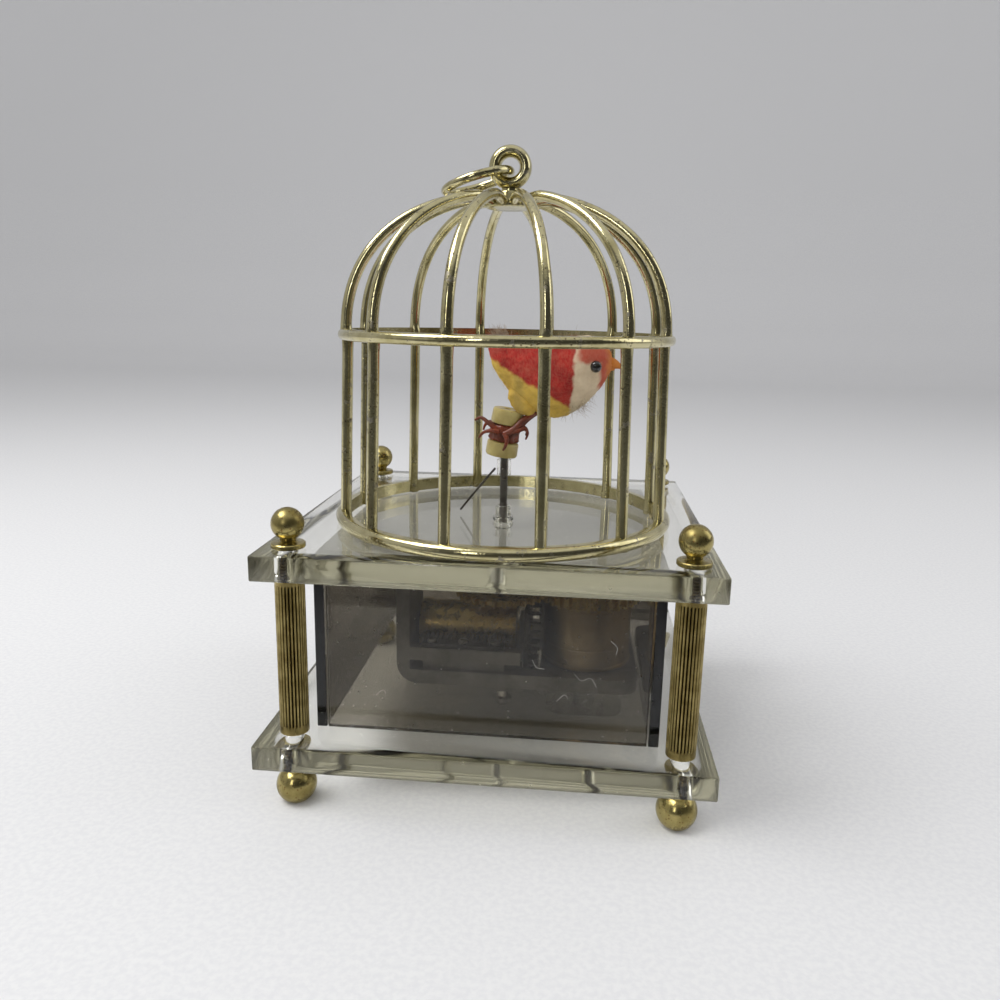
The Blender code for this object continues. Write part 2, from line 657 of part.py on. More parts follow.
def make_spindle():
    steel = material("dark_steel", (0.20, 0.19, 0.18), 0.4, 1.0)
    clear = material("clear_acrylic", (0.85, 0.87, 0.82), 0.05, 0.0, 0.35)
    bore = SPINDLE_RADIUS + RUNNING_GAP
    spindle = at(SPINDLE_X, SPINDLE_Y)
    flange_top = HOOP_Z + BUSH_FLANGE_THICKNESS
    bush_top = DECK_Z + BUSH_ABOVE_PLATE
    bush_low = TOP_PLATE_Z - BUSH_BELOW_PLATE
    turned("spindle_bush", [(bore, bush_low), (BUSH_RADIUS, bush_low), (BUSH_RADIUS, HOOP_Z),
                            (BUSH_FLANGE_RADIUS, HOOP_Z), (BUSH_FLANGE_RADIUS, flange_top),
                            (BUSH_RADIUS, flange_top), (BUSH_RADIUS, bush_top), (bore, bush_top)],
           16, clear, spindle)
    rod_low = SPINDLE_WHEEL_Z - RUNNING_GAP
    rod_high = SPOOL_Z + SPINDLE_INTO_SPOOL
    turned("spindle_rod", [(0, rod_low), (SPINDLE_RADIUS, rod_low), (SPINDLE_RADIUS, rod_high),
                           (0, rod_high)], 12, steel, spindle)
    sleeve_top = SPOOL_Z - SLEEVE_UNDER_SPOOL
    sleeve_low = sleeve_top - SLEEVE_LENGTH
    outer = bore + SLEEVE_WALL
    turned("clear_sleeve", [(bore, sleeve_low), (outer, sleeve_low), (outer, sleeve_top),
                            (bore, sleeve_top)], 12, clear, spindle)
    start = Vector((SPINDLE_X, SPINDLE_Y, sleeve_low + SLEEVE_LENGTH / 3))
    away = Vector((WIRE_REACH_X, WIRE_REACH_Y, 0)).normalized()
    start += away * (outer + GAP + 2 * WIRE_RADIUS)
    end = Vector((SPINDLE_X + WIRE_REACH_X, SPINDLE_Y + WIRE_REACH_Y, HOOP_Z + 2 * WIRE_RADIUS))
    tube_along("steel_wire", [start, end], WIRE_RADIUS, 1, steel)


def make_perch_spool():
    amber = material("perch_plastic", (0.80, 0.72, 0.42), 0.35)
    lip = SPOOL_RADIUS * 0.9
    shoulder = SPOOL_DISC * 0.12
    top = SPOOL_HEIGHT
    waist_low = SPOOL_DISC
    waist_high = SPOOL_DISC + SPOOL_WAIST
    profile = [(0, 0), (lip, 0), (SPOOL_RADIUS, shoulder), (SPOOL_RADIUS, waist_low - shoulder),
               (lip, waist_low), (SPOOL_WAIST_RADIUS, waist_low), (SPOOL_WAIST_RADIUS, waist_high),
               (lip, waist_high), (SPOOL_RADIUS, waist_high + shoulder),
               (SPOOL_RADIUS, top - shoulder), (lip, top), (SPOOL_EYELET_RADIUS, top),
               (SPOOL_EYELET_RADIUS, top - SPOOL_EYELET_DEPTH), (0, top - SPOOL_EYELET_DEPTH)]
    spool = turned("perch_spool", profile, 18, amber, spool_place(), 40)
    seat = SPINDLE_RADIUS + BORE_GAP
    seat_top = SPOOL_Z + SPINDLE_INTO_SPOOL + BORE_GAP
    seat_low = SPOOL_Z - SPOOL_RADIUS
    tool = turned("spindle_seat", [(0, seat_low), (seat, seat_low), (seat, seat_top), (0, seat_top)],
                  12, amber, at(SPINDLE_X, SPINDLE_Y))
    cut(spool, tool)
    shares = [section[0] for section in BIRD_SECTIONS]
    cut(spool, bird_loft("bird_clearance", shares, amber, GAP))


def curved_spike(name, points, radius, tip_radius, finish_material):
    """A round tapering rod of six sides through points."""
    bm = bmesh.new()
    rings = []
    sides = 6
    for number, point in enumerate(points):
        ahead = points[min(number + 1, len(points) - 1)] - points[max(number - 1, 0)]
        turn = ahead.to_track_quat("Z", "Y").to_matrix()
        share = number / (len(points) - 1)
        reach = radius + (tip_radius - radius) * share
        ring = []
        for step in range(sides):
            angle = 2 * math.pi * step / sides
            spot = turn @ Vector((reach * math.cos(angle), reach * math.sin(angle), 0))
            ring.append(bm.verts.new(point + spot))
        rings.append(ring)
    for lower, upper in zip(rings, rings[1:]):
        for step in range(sides):
            after = (step + 1) % sides
            bm.faces.new((lower[step], lower[after], upper[after], upper[step]))
    bm.faces.new(rings[0])
    bm.faces.new(rings[-1])
    return finish(name, bm, finish_material, sharp=60)


def make_bird_feet():
    plastic = material("red_brown_plastic", (0.36, 0.10, 0.05), 0.35)
    inner = SPOOL_WAIST_RADIUS + GAP
    outer = inner + FOOT_COLLAR_WALL
    low = SPOOL_DISC + GAP
    high = SPOOL_DISC + SPOOL_WAIST - GAP
    feet = turned("bird_feet", [(inner, low), (outer, low), (outer, high), (inner, high)], 16,
                  plastic, spool_place())
    place = spool_place()
    middle = (low + high) / 2
    reach = outer - FOOT_COLLAR_WALL / 2
    over = SPOOL_RADIUS + GAP + LEG_RADIUS
    belly = bird_place() @ Vector(bird_station(0.42)[0] + Vector((0, 0, -bird_station(0.42)[2])))
    for side, name in ((-1, "left"), (1, "right")):
        hip = belly + Vector((0, side * LEG_SPREAD * 0.7, -GAP))
        knee = place @ Vector((over + LEG_RADIUS, side * LEG_SPREAD, middle + LEG_RADIUS))
        ankle = place @ Vector((reach, side * LEG_SPREAD * 0.6, middle))
        leg = curved_spike("leg_" + name, [hip, knee, ankle], LEG_RADIUS, LEG_RADIUS, plastic)
        join(feet, leg)
    claws = [(150, CLAW_CURL), (205, -CLAW_CURL), (-38, -CLAW_CURL)]
    for number, (degrees, rise) in enumerate(claws):
        angle = math.radians(degrees)
        points = []
        for distance, climb in ((reach, 0), (over + CLAW_RADIUS, 0), (over + CLAW_CURL, rise)):
            points.append(place @ Vector((distance * math.cos(angle), distance * math.sin(angle),
                                          middle + climb)))
        claw = curved_spike(f"claw_{number + 1}", points, CLAW_RADIUS, CLAW_RADIUS / 2, plastic)
        join(feet, claw)


# The bird's sections from tail to beak: place along its length, then centre height and
# half height as shares of its height, and half width as a share of its width
BIRD_SECTIONS = [
    (0.00, 0.326, 0.035, 0.045), (0.04, 0.227, 0.134, 0.147), (0.12, 0.142, 0.230, 0.250),
    (0.22, 0.058, 0.337, 0.346), (0.33, 0.006, 0.413, 0.426), (0.45, -0.026, 0.468, 0.478),
    (0.56, -0.032, 0.491, 0.500), (0.68, 0.006, 0.471, 0.493), (0.78, 0.064, 0.424, 0.456),
    (0.87, 0.122, 0.343, 0.382), (0.94, 0.157, 0.238, 0.279), (0.985, 0.166, 0.128, 0.154),
    (1.00, 0.163, 0.047, 0.059),
]


def bird_place():
    return at(SPINDLE_X, SPINDLE_Y, SPOOL_Z + SPOOL_HEIGHT + BIRD_ABOVE_SPOOL)


def bird_station(share):
    """Centre, half width and half height of the bird's section at a share of its length."""
    for before, after in zip(BIRD_SECTIONS, BIRD_SECTIONS[1:]):
        if share <= after[0]:
            part = (share - before[0]) / (after[0] - before[0])
            rise, tall, wide = [b + (a - b) * part for b, a in zip(before[1:], after[1:])]
            centre = Vector((BIRD_TAIL_END + share * BIRD_LENGTH, 0, rise * BIRD_HEIGHT))
            return centre, wide * BIRD_WIDTH, tall * BIRD_HEIGHT
    raise ValueError("share is past the beak")


def bird_loft(name, shares, finish_material, grow=0.0):
    bm = bmesh.new()
    sides = 14
    rings = []
    for share in shares:
        centre, wide, tall = bird_station(share)
        ring = []
        for step in range(sides):
            angle = 2 * math.pi * step / sides
            ring.append(bm.verts.new(centre + Vector((0, (wide + grow) * math.cos(angle),
                                                      (tall + grow) * math.sin(angle)))))
        rings.append(ring)
    for lower, upper in zip(rings, rings[1:]):
        for step in range(sides):
            after = (step + 1) % sides
            bm.faces.new((lower[step], lower[after], upper[after], upper[step]))
    bm.faces.new(rings[0])
    bm.faces.new(rings[-1])
    return finish(name, bm, finish_material, bird_place(), 60)


def make_bird():
    red = material("red_flock", (0.62, 0.07, 0.05), 0.95)
    cream = material("cream_flock", (0.80, 0.72, 0.55), 0.95)
    brown = material("brown_tuft", (0.40, 0.30, 0.20), 0.95)
    orange = material("orange_beak", (0.80, 0.33, 0.08), 0.5)
    black = material("black_glass", (0.02, 0.02, 0.02), 0.08)
    body_shares = [0, 0.04, 0.12, 0.22, 0.33, 0.45, 0.56, 0.64, HEAD_START_SHARE]
    bird_loft("bird_body", body_shares, red)
    neck = HEAD_START_SHARE + GAP / BIRD_LENGTH
    head = bird_loft("bird_head", [neck, 0.78, 0.83, 0.87, 0.91, 0.94, 0.97, 0.985, 1.0], cream)
    place = bird_place()
    centre, wide, tall = bird_station(0.875)
    for side, hand in ((-1, "right"), (1, "left")):
        spot = place @ (centre + Vector((0, side * wide * 0.97, -tall * 0.05)))
        turned("bird_eye_" + hand, ball_profile(EYE_BEAD_RADIUS), 12, black, Matrix.Translation(spot), 60)
        socket = turned("eye_socket_" + hand, ball_profile(EYE_BEAD_RADIUS + GAP), 12, black,
                        Matrix.Translation(spot))
        cut(head, socket)
    tip_centre = bird_station(1.0)[0]
    start = place @ (tip_centre - Vector((BEAK_RADIUS, 0, 0)))
    middle = start + Vector((BEAK_LENGTH * 0.5, 0, -BEAK_LENGTH * 0.1))
    end = start + Vector((BEAK_LENGTH + BEAK_RADIUS, 0, -BEAK_LENGTH * 0.3))
    join(head, curved_spike("beak", [start, middle, end], BEAK_RADIUS, BEAK_RADIUS * 0.15, orange))
    root = bird_station(0.12)
    foot = place @ (root[0] + Vector((0, 0, root[2] + GAP + TAIL_RADIUS * TAIL_SEAT_SHARE)))
    lean = Vector((-0.54, 0, 0.84))
    curved_spike("bird_tail", [foot, foot + lean * TAIL_LENGTH * 0.6, foot + lean * TAIL_LENGTH],
                 TAIL_RADIUS, TAIL_TIP_RADIUS, brown)


def boss_places():
    inset = 2 * BOSS_RADIUS
    return [(FRONT_BOSS_X, BED_FRONT + BOSS_RADIUS + GAP),
            (BED_LEFT + BED_WALL_ROUND + inset, BED_BACK - inset)]


def make_bedplate():
    zinc = material("cast_zinc", (0.42, 0.42, 0.42), 0.5, 0.9)
    steel = material("steel", (0.55, 0.55, 0.55), 0.35, 1.0)
    outline = rounded_rectangle(BED_LEFT + BED_WALL_ROUND, BED_RIGHT, BED_FRONT, BED_BACK, BED_CORNER)
    bed = prism("bedplate", outline, BED_Z, BED_TOP_Z, zinc)
    overlap = BED_THICKNESS / 2
    boss_low = FLOOR_Z + GAP
    for x, y in boss_places():
        join(bed, turned("bed_boss", [(0, boss_low), (BOSS_RADIUS, boss_low),
                                      (BOSS_RADIUS, BED_Z + overlap), (0, BED_Z + overlap)],
                         16, zinc, at(x, y)))
    make_bed_wall(bed, zinc)
    make_cylinder_post(bed, BED_TOP_Z - overlap, zinc)
    half = COMB_WIDTH / 2
    ledge_back = COMB_BACK_Y + COMB_HEEL
    lip_low = LEDGE_Z - LEDGE_LIP
    join(bed, box("comb_ledge", (BED_LEFT + BED_WALL / 2, COMB_BACK_Y, lip_low),
                  (CYLINDER_END + 2 * GAP + BRACKET_THICKNESS, ledge_back, LEDGE_Z), zinc))
    join(bed, box("ledge_foot", (COMB_X - half, COMB_BACK_Y + LEDGE_RECESS, BED_TOP_Z - overlap),
                  (COMB_X + half, ledge_back - GAP, lip_low + GAP), zinc))
    screw_low = BOTTOM_PLATE_Z - GAP - SCREW_HEAD_HEIGHT
    screw_high = BED_TOP_Z - overlap
    drill = BED_SCREW_RADIUS + BORE_GAP
    cut(bed, round_cutter("boss_holes", [(x, y, drill) for x, y in boss_places()],
                          boss_low - GAP, screw_high + GAP))
    cut(bed, round_cutter("arbor_hole", [(DRUM_X, DRUM_Y, ARBOR_RADIUS + 2 * BORE_GAP)],
                          BED_Z - GAP, BED_TOP_Z + GAP))
    wheel_left, wheel_right = crown_wheel_span()
    reach = CROWN_WHEEL_RADIUS + CROWN_TOOTH_REACH
    half_chord = math.sqrt(reach ** 2 - (CYLINDER_Z - BED_TOP_Z) ** 2) + 5 * GAP
    cut(bed, box("wheel_slot", (wheel_left - 2 * GAP, DRUM_Y - half_chord, BED_Z - GAP),
                 (wheel_right + 2 * GAP, DRUM_Y + half_chord, BED_TOP_Z + GAP), zinc))
    head_top = screw_low + SCREW_HEAD_HEIGHT
    for (x, y), name in zip(boss_places(), ("front", "back")):
        turned("bedplate_screw_" + name, [
            (0, screw_low), (SCREW_HEAD_RADIUS * 0.8, screw_low),
            (SCREW_HEAD_RADIUS, head_top - SCREW_HEAD_HEIGHT / 2), (SCREW_HEAD_RADIUS, head_top),
            (BED_SCREW_RADIUS, head_top), (BED_SCREW_RADIUS, screw_high), (0, screw_high)],
            12, steel, at(x, y))
    return bed


def make_bed_wall(bed, finish_material):
    """The side wall of the casting, round where it turns up, which carries one arbor end."""
    inner = BED_LEFT + BED_WALL
    foot = BED_LEFT + BED_WALL_ROUND + BED_CORNER + GAP
    top = BED_TOP_Z + BED_WALL_HEIGHT
    outline = [(BED_LEFT, top)]
    for step in range(5):
        turn = math.radians(180 + 90 * step / 4)
        outline.append((BED_LEFT + BED_WALL_ROUND * (1 + math.cos(turn)),
                        BED_Z + BED_WALL_ROUND * (1 + math.sin(turn))))
    outline += [(foot, BED_Z), (foot, BED_TOP_Z), (inner, BED_TOP_Z), (inner, top)]
    join(bed, prism("bed_wall", outline, -DRUM_Y - BRACKET_WIDTH / 2, -BED_FRONT, finish_material,
                    Matrix.Rotation(math.radians(90), 4, "X")))


def make_cylinder_post(bed, low, finish_material):
    """The upright post of the casting, which carries the tune cylinder's other end."""
    half = BRACKET_WIDTH / 2
    left = CYLINDER_END + 2 * GAP
    join(bed, box("cylinder_post", (left, DRUM_Y - half, low),
                  (left + BRACKET_THICKNESS, DRUM_Y + half, CYLINDER_Z + half), finish_material))
    hole = CYLINDER_ARBOR_RADIUS + RUNNING_GAP
    start = CYLINDER_START - BRACKET_WIDTH
    end = CYLINDER_END + BRACKET_WIDTH
    cut(bed, turned("cylinder_bearings", [(0, start), (hole, start), (hole, end), (0, end)], 14,
                    finish_material, along_x(0, DRUM_Y, CYLINDER_Z)))


def make_drum():
    copper = material("spring_barrel", (0.55, 0.40, 0.26), 0.35, 1.0)
    brass = material("wheel_brass", (0.60, 0.48, 0.24), 0.4, 1.0)
    steel = material("dark_steel", (0.20, 0.19, 0.18), 0.4, 1.0)
    rim = DRUM_RADIUS + DRUM_RIM
    inner = DRUM_RADIUS - DRUM_WALL
    bore = ARBOR_CORE_RADIUS + RUNNING_GAP
    floor_top = DRUM_Z + DRUM_WALL
    turned("spring_drum", [
        (bore, DRUM_Z), (rim, DRUM_Z), (rim, DRUM_Z + DRUM_RIM_HEIGHT),
        (DRUM_RADIUS, DRUM_Z + DRUM_RIM_HEIGHT * 1.5), (DRUM_RADIUS, DRUM_TOP_Z - DRUM_RIM_HEIGHT * 1.5),
        (rim, DRUM_TOP_Z - DRUM_RIM_HEIGHT), (rim, DRUM_TOP_Z), (inner, DRUM_TOP_Z),
        (inner, floor_top), (bore, floor_top)], 32, copper, at(DRUM_X, DRUM_Y))
    outline = gear_outline(DRUM_TEETH, DRUM_WHEEL_RADIUS, WHEEL_MODULE, TOOTH_SHARE)
    wheel_top = WHEEL_Z + DRUM_WHEEL_THICKNESS
    wheel = prism("drum_wheel", outline, WHEEL_Z, wheel_top, brass, at(DRUM_X, DRUM_Y), 20)
    cut(wheel, round_cutter("drum_wheel_bore", [(DRUM_X, DRUM_Y, ARBOR_RADIUS + RUNNING_GAP)],
                            WHEEL_Z - GAP, wheel_top + GAP))
    make_mainspring(inner - 2 * GAP, floor_top + 2 * GAP, DRUM_TOP_Z - 2 * GAP, steel)
    core_low = DRUM_Z + GAP
    core_high = DRUM_TOP_Z - 2 * GAP
    tip = KEY_FLOOR_CLEARANCE + KEY_BLADE_HEIGHT
    turned("winding_arbor", [(0, tip), (ARBOR_RADIUS, tip), (ARBOR_RADIUS, core_low),
                             (ARBOR_CORE_RADIUS, core_low), (ARBOR_CORE_RADIUS, core_high),
                             (ARBOR_RADIUS, core_high), (ARBOR_RADIUS, wheel_top + GAP),
                             (0, wheel_top + GAP)], 14, steel, at(DRUM_X, DRUM_Y))


def make_mainspring(outer, low, high, finish_material):
    """A flat spring wound in a spiral round the arbor."""
    bm = bmesh.new()
    inner = ARBOR_CORE_RADIUS + 2 * GAP + SPRING_THICKNESS
    steps = SPRING_TURNS * 16
    rows = []
    for step in range(steps + 1):
        angle = 2 * math.pi * SPRING_TURNS * step / steps
        radius = inner + (outer - inner) * step / steps
        row = []
        for reach, z in ((radius - SPRING_THICKNESS, low), (radius, low),
                         (radius, high), (radius - SPRING_THICKNESS, high)):
            row.append(bm.verts.new((reach * math.cos(angle), reach * math.sin(angle), z)))
        rows.append(row)
    for before, after in zip(rows, rows[1:]):
        for side in range(4):
            onward = (side + 1) % 4
            bm.faces.new((before[side], before[onward], after[onward], after[side]))
    bm.faces.new(rows[0])
    bm.faces.new(rows[-1])
    finish("mainspring", bm, finish_material, at(DRUM_X, DRUM_Y), 60)


def make_key():
    steel = material("steel", (0.55, 0.55, 0.55), 0.35, 1.0)
    hub_high = BOTTOM_PLATE_Z - 3 * GAP
    hub_low = KEY_FLOOR_CLEARANCE + KEY_BLADE_HEIGHT * 0.5
    key = turned("winding_key", [(0, hub_low), (KEY_HUB_RADIUS, hub_low), (KEY_HUB_RADIUS, hub_high),
                                 (0, hub_high)], 16, steel, at(DRUM_X, DRUM_Y))
    low = KEY_FLOOR_CLEARANCE
    corner = KEY_BLADE_HEIGHT * 0.4
    outline = rounded_rectangle(-KEY_WIDTH / 2, KEY_WIDTH / 2, low, low + KEY_BLADE_HEIGHT, corner, 3)
    upright = at(DRUM_X, DRUM_Y) @ Matrix.Rotation(math.radians(90), 4, "X")
    blade = prism("key_blade", outline, -KEY_BLADE_THICKNESS / 2, KEY_BLADE_THICKNESS / 2, steel,
                  upright)
    join(key, blade)
    tip = KEY_FLOOR_CLEARANCE + KEY_BLADE_HEIGHT - GAP
    cut(key, round_cutter("key_bore", [(DRUM_X, DRUM_Y, ARBOR_RADIUS + BORE_GAP)], tip,
                          hub_high + GAP))


def crown_wheel_span():
    """Where the crown wheel begins and its teeth end, along X."""
    left = CYLINDER_END + 3 * GAP + BRACKET_THICKNESS
    root = DRUM_WHEEL_RADIUS - 0.95 * WHEEL_MODULE
    return left, DRUM_X - root - TOOTH_CLEARANCE


def make_spindle_wheel():
    brass = material("wheel_brass", (0.60, 0.48, 0.24), 0.4, 1.0)
    toward = math.atan2(SPINDLE_Y - DRUM_Y, SPINDLE_X - DRUM_X)
    first = meshing_turn(toward, SPINDLE_TEETH)
    outline = gear_outline(SPINDLE_TEETH, SPINDLE_WHEEL_RADIUS, WHEEL_MODULE, TOOTH_SHARE, first)
    top = SPINDLE_WHEEL_Z + WHEEL_THICKNESS
    wheel = prism("spindle_wheel", outline, SPINDLE_WHEEL_Z, top, brass, at(SPINDLE_X, SPINDLE_Y), 20)
    cut(wheel, round_cutter("spindle_wheel_bore",
                            [(SPINDLE_X, SPINDLE_Y, SPINDLE_RADIUS + BORE_GAP)],
                            SPINDLE_WHEEL_Z - GAP, top + GAP))


def meshing_turn(toward, teeth):
    """First tooth's angle of a wheel whose gap meets the drum wheel's tooth near toward."""
    pitch = 2 * math.pi / DRUM_TEETH
    ahead = round(toward / pitch) * pitch - toward
    return toward + math.pi - ahead * DRUM_TEETH / teeth + math.pi / teeth


def make_tune_cylinder():
    brass = material("wheel_brass", (0.60, 0.48, 0.24), 0.4, 1.0)
    steel = material("dark_steel", (0.20, 0.19, 0.18), 0.4, 1.0)
    cap = CYLINDER_RADIUS + CYLINDER_CAP_LIP
    wheel_left, teeth_end = crown_wheel_span()
    disc_end = wheel_left + CROWN_DISC_THICKNESS
    arbor_low = CYLINDER_START - 2 * GAP - BRACKET_THICKNESS - GAP
    stub = CYLINDER_ARBOR_RADIUS
    barrel_low = CYLINDER_START + CYLINDER_CAP
    barrel_high = CYLINDER_END - CYLINDER_CAP
    turned("tune_cylinder", [
        (0, arbor_low), (stub, arbor_low), (stub, CYLINDER_START), (cap, CYLINDER_START),
        (cap, barrel_low), (CYLINDER_RADIUS, barrel_low), (CYLINDER_RADIUS, barrel_high),
        (cap, barrel_high), (cap, CYLINDER_END), (stub, CYLINDER_END), (stub, disc_end + GAP),
        (0, disc_end + GAP)], 28, brass, along_x(0, DRUM_Y, CYLINDER_Z), 30)
    rim = CROWN_WHEEL_RADIUS + CROWN_TOOTH_REACH
    bore = stub + BORE_GAP
    disc = [(bore, wheel_left), (rim, wheel_left), (rim, disc_end), (bore, disc_end)]
    wheel = turned("cylinder_wheel", disc, 2 * CROWN_TEETH, steel, along_x(0, DRUM_Y, CYLINDER_Z), 25)
    teeth = bmesh.new()
    width = CROWN_TOOTH_SHARE * 2 * math.pi * CROWN_WHEEL_RADIUS / CROWN_TEETH
    root = width * 0.5
    tip = width * 0.36
    low = disc_end - CROWN_DISC_THICKNESS / 2
    for number in range(CROWN_TEETH):
        angle = 2 * math.pi * (number + 0.5) / CROWN_TEETH
        turn = at(0, DRUM_Y, CYLINDER_Z) @ Matrix.Rotation(angle, 4, "X")
        inner = CROWN_WHEEL_RADIUS - CROWN_TOOTH_REACH
        outer = rim * math.cos(math.pi / (2 * CROWN_TEETH)) - GAP / 3
        outline = [(low, -root), (teeth_end, -tip), (teeth_end, tip), (low, root)]
        add_prism(teeth, outline, inner, outer, turn)
    join(wheel, finish("crown_teeth", teeth, steel))


def make_comb():
    steel = material("dark_steel", (0.20, 0.19, 0.18), 0.4, 1.0)
    left = COMB_X - COMB_WIDTH / 2
    right = COMB_X + COMB_WIDTH / 2
    tooth_root = COMB_BACK_Y + COMB_HEEL
    outline = [(left, COMB_BACK_Y), (right, COMB_BACK_Y), (right, tooth_root)]
    for number in reversed(range(COMB_TEETH)):
        near = left + number * COMB_PITCH + COMB_SLIT / 2
        far = left + (number + 1) * COMB_PITCH - COMB_SLIT / 2
        outline += [(far, tooth_root), (far, COMB_TIP_Y), (near, COMB_TIP_Y), (near, tooth_root)]
    outline.append((left, tooth_root))
    prism("comb", outline, COMB_Z, COMB_Z + COMB_THICKNESS, steel, sharp=20)


def governor_place():
    """Where the governor's arbor stands, beside the drum wheel."""
    reach = DRUM_WHEEL_RADIUS + WHEEL_MODULE * GOVERNOR_PINION_TEETH / 2
    return DRUM_X + reach * math.cos(GOVERNOR_ANGLE), DRUM_Y + reach * math.sin(GOVERNOR_ANGLE)


def make_governor(bed):
    """The governor's wheel and worm, and the two ears of the casting that carry the worm."""
    brass = material("wheel_brass", (0.60, 0.48, 0.24), 0.4, 1.0)
    steel = material("dark_steel", (0.20, 0.19, 0.18), 0.4, 1.0)
    zinc = material("cast_zinc", (0.42, 0.42, 0.42), 0.5, 0.9)
    x, y = governor_place()
    first = meshing_turn(GOVERNOR_ANGLE, GOVERNOR_PINION_TEETH)
    pinion_radius = WHEEL_MODULE * GOVERNOR_PINION_TEETH / 2
    outline = gear_outline(GOVERNOR_PINION_TEETH, pinion_radius, WHEEL_MODULE, TOOTH_SHARE, first)
    pinion_top = SPINDLE_WHEEL_Z + WHEEL_THICKNESS
    wheel_low = pinion_top + 2 * GAP
    wheel_top = wheel_low + WHEEL_THICKNESS
    wheel_radius = GOVERNOR_MODULE * GOVERNOR_TEETH / 2
    wheel = prism("governor_wheel", outline, SPINDLE_WHEEL_Z, pinion_top, brass, at(x, y), 20)
    upper = prism("governor_upper_wheel",
                  gear_outline(GOVERNOR_TEETH, wheel_radius, GOVERNOR_MODULE, TOOTH_SHARE),
                  wheel_low, wheel_top, brass, at(x, y), 20)
    join(wheel, upper)
    low = BED_TOP_Z + GAP
    top = wheel_top + GAP
    arbor = turned("governor_arbor", [(0, low), (GOVERNOR_ARBOR_RADIUS, low),
                                      (GOVERNOR_ARBOR_RADIUS, top), (0, top)], 10, steel, at(x, y))
    join(wheel, arbor)
    worm_tip = WORM_CORE_RADIUS + WORM_RIDGE
    wheel_tip = wheel_radius + 0.75 * GOVERNOR_MODULE
    worm_y = y + wheel_tip + worm_tip + WORM_CLEARANCE
    worm_z = (wheel_low + wheel_top) / 2
    ear = BRACKET_THICKNESS
    fan_left = x + wheel_radius + 3 * GAP
    span_left = x - wheel_radius - FAN_WIDTH
    span_right = fan_left + FAN_WIDTH + 3 * GAP
    for name, left in (("left_ear", span_left - ear), ("right_ear", span_right)):
        join(bed, box(name, (left, worm_y - BRACKET_WIDTH / 2, low - ear),
                      (left + ear, worm_y + BRACKET_WIDTH / 2, worm_z + BRACKET_WIDTH / 2), zinc))
    pivot = WORM_CORE_RADIUS + RUNNING_GAP
    cut(bed, turned("worm_bearings", [(0, span_left - 2 * ear), (pivot, span_left - 2 * ear),
                                          (pivot, span_right + 2 * ear), (0, span_right + 2 * ear)],
                        12, zinc, along_x(0, worm_y, worm_z)))
    make_fan_worm(x, worm_y, worm_z, span_left - ear / 2, fan_left, span_right + ear / 2, steel)


def make_fan_worm(middle, y, z, left, fan_left, right, finish_material):
    """The endless screw, twisted from a two lobed section, with its air brake."""
    half = 2 * GOVERNOR_MODULE * math.pi
    lead = WORM_STARTS * GOVERNOR_MODULE * math.pi
    stations = [(left, 0.0), (middle - half, 0.0)]
    steps = 16
    for step in range(1, steps):
        stations.append((middle - half + 2 * half * step / steps, 1.0))
    stations += [(middle + half, 0.0), (right, 0.0)]
    bm = bmesh.new()
    sides = 10
    rings = []
    for spot, ridge in stations:
        ring = []
        for step in range(sides):
            angle = 2 * math.pi * step / sides
            twist = 2 * math.pi * (spot - middle) / lead
            lobe = max(0.0, math.cos(WORM_STARTS * (angle - twist)))
            radius = WORM_CORE_RADIUS + ridge * WORM_RIDGE * lobe
            ring.append(bm.verts.new((spot, radius * math.cos(angle), radius * math.sin(angle))))
        rings.append(ring)
    for before, after in zip(rings, rings[1:]):
        for step in range(sides):
            onward = (step + 1) % sides
            bm.faces.new((before[step], before[onward], after[onward], after[step]))
    bm.faces.new(rings[0])
    bm.faces.new(rings[-1])
    worm = finish("fan_worm", bm, finish_material, at(0, y, z), 60)
    half_blade = FAN_BLADE / 2
    blade = box("fan_blade", (fan_left, y - FAN_REACH, z - half_blade),
                (fan_left + FAN_WIDTH, y + FAN_REACH, z + half_blade), finish_material)
    join(worm, blade)


def main():
    clear_scene()
    make_plates()
    make_columns()
    make_feet_and_finials()
    make_smoked_box()
    make_cage()
    make_crown_and_ring()
    make_spindle()
    make_perch_spool()
    make_bird_feet()
    make_bird()
    bed = make_bedplate()
    make_drum()
    make_key()
    make_spindle_wheel()
    make_tune_cylinder()
    make_comb()
    make_governor(bed)


main()
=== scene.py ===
# Birdcage music box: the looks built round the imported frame.
# Lengths are in metres, and mm turns millimetres into them.
import math
import random

import bpy
from mathutils import Matrix, Vector


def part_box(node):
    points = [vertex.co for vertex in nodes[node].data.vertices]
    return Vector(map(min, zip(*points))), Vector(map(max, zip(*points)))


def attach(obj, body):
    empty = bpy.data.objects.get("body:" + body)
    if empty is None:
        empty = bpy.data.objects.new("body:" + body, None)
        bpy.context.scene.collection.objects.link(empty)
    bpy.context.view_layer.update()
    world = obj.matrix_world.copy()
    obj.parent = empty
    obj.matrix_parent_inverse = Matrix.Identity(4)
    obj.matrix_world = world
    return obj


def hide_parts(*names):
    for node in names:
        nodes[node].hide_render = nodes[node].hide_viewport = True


mm = 0.001
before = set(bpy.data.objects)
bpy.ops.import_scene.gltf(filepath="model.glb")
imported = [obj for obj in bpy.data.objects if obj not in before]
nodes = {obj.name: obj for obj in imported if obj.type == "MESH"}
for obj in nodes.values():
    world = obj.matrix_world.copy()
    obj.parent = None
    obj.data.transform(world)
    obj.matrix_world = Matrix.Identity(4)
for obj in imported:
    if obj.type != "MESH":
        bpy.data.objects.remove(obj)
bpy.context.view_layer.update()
print("frame loaded:", len(nodes), "nodes")


# Small helpers for modelling

def deselectAll():
    if bpy.context.object and bpy.context.object.mode != "OBJECT":
        bpy.ops.object.mode_set(mode="OBJECT")
    bpy.ops.object.select_all(action="DESELECT")


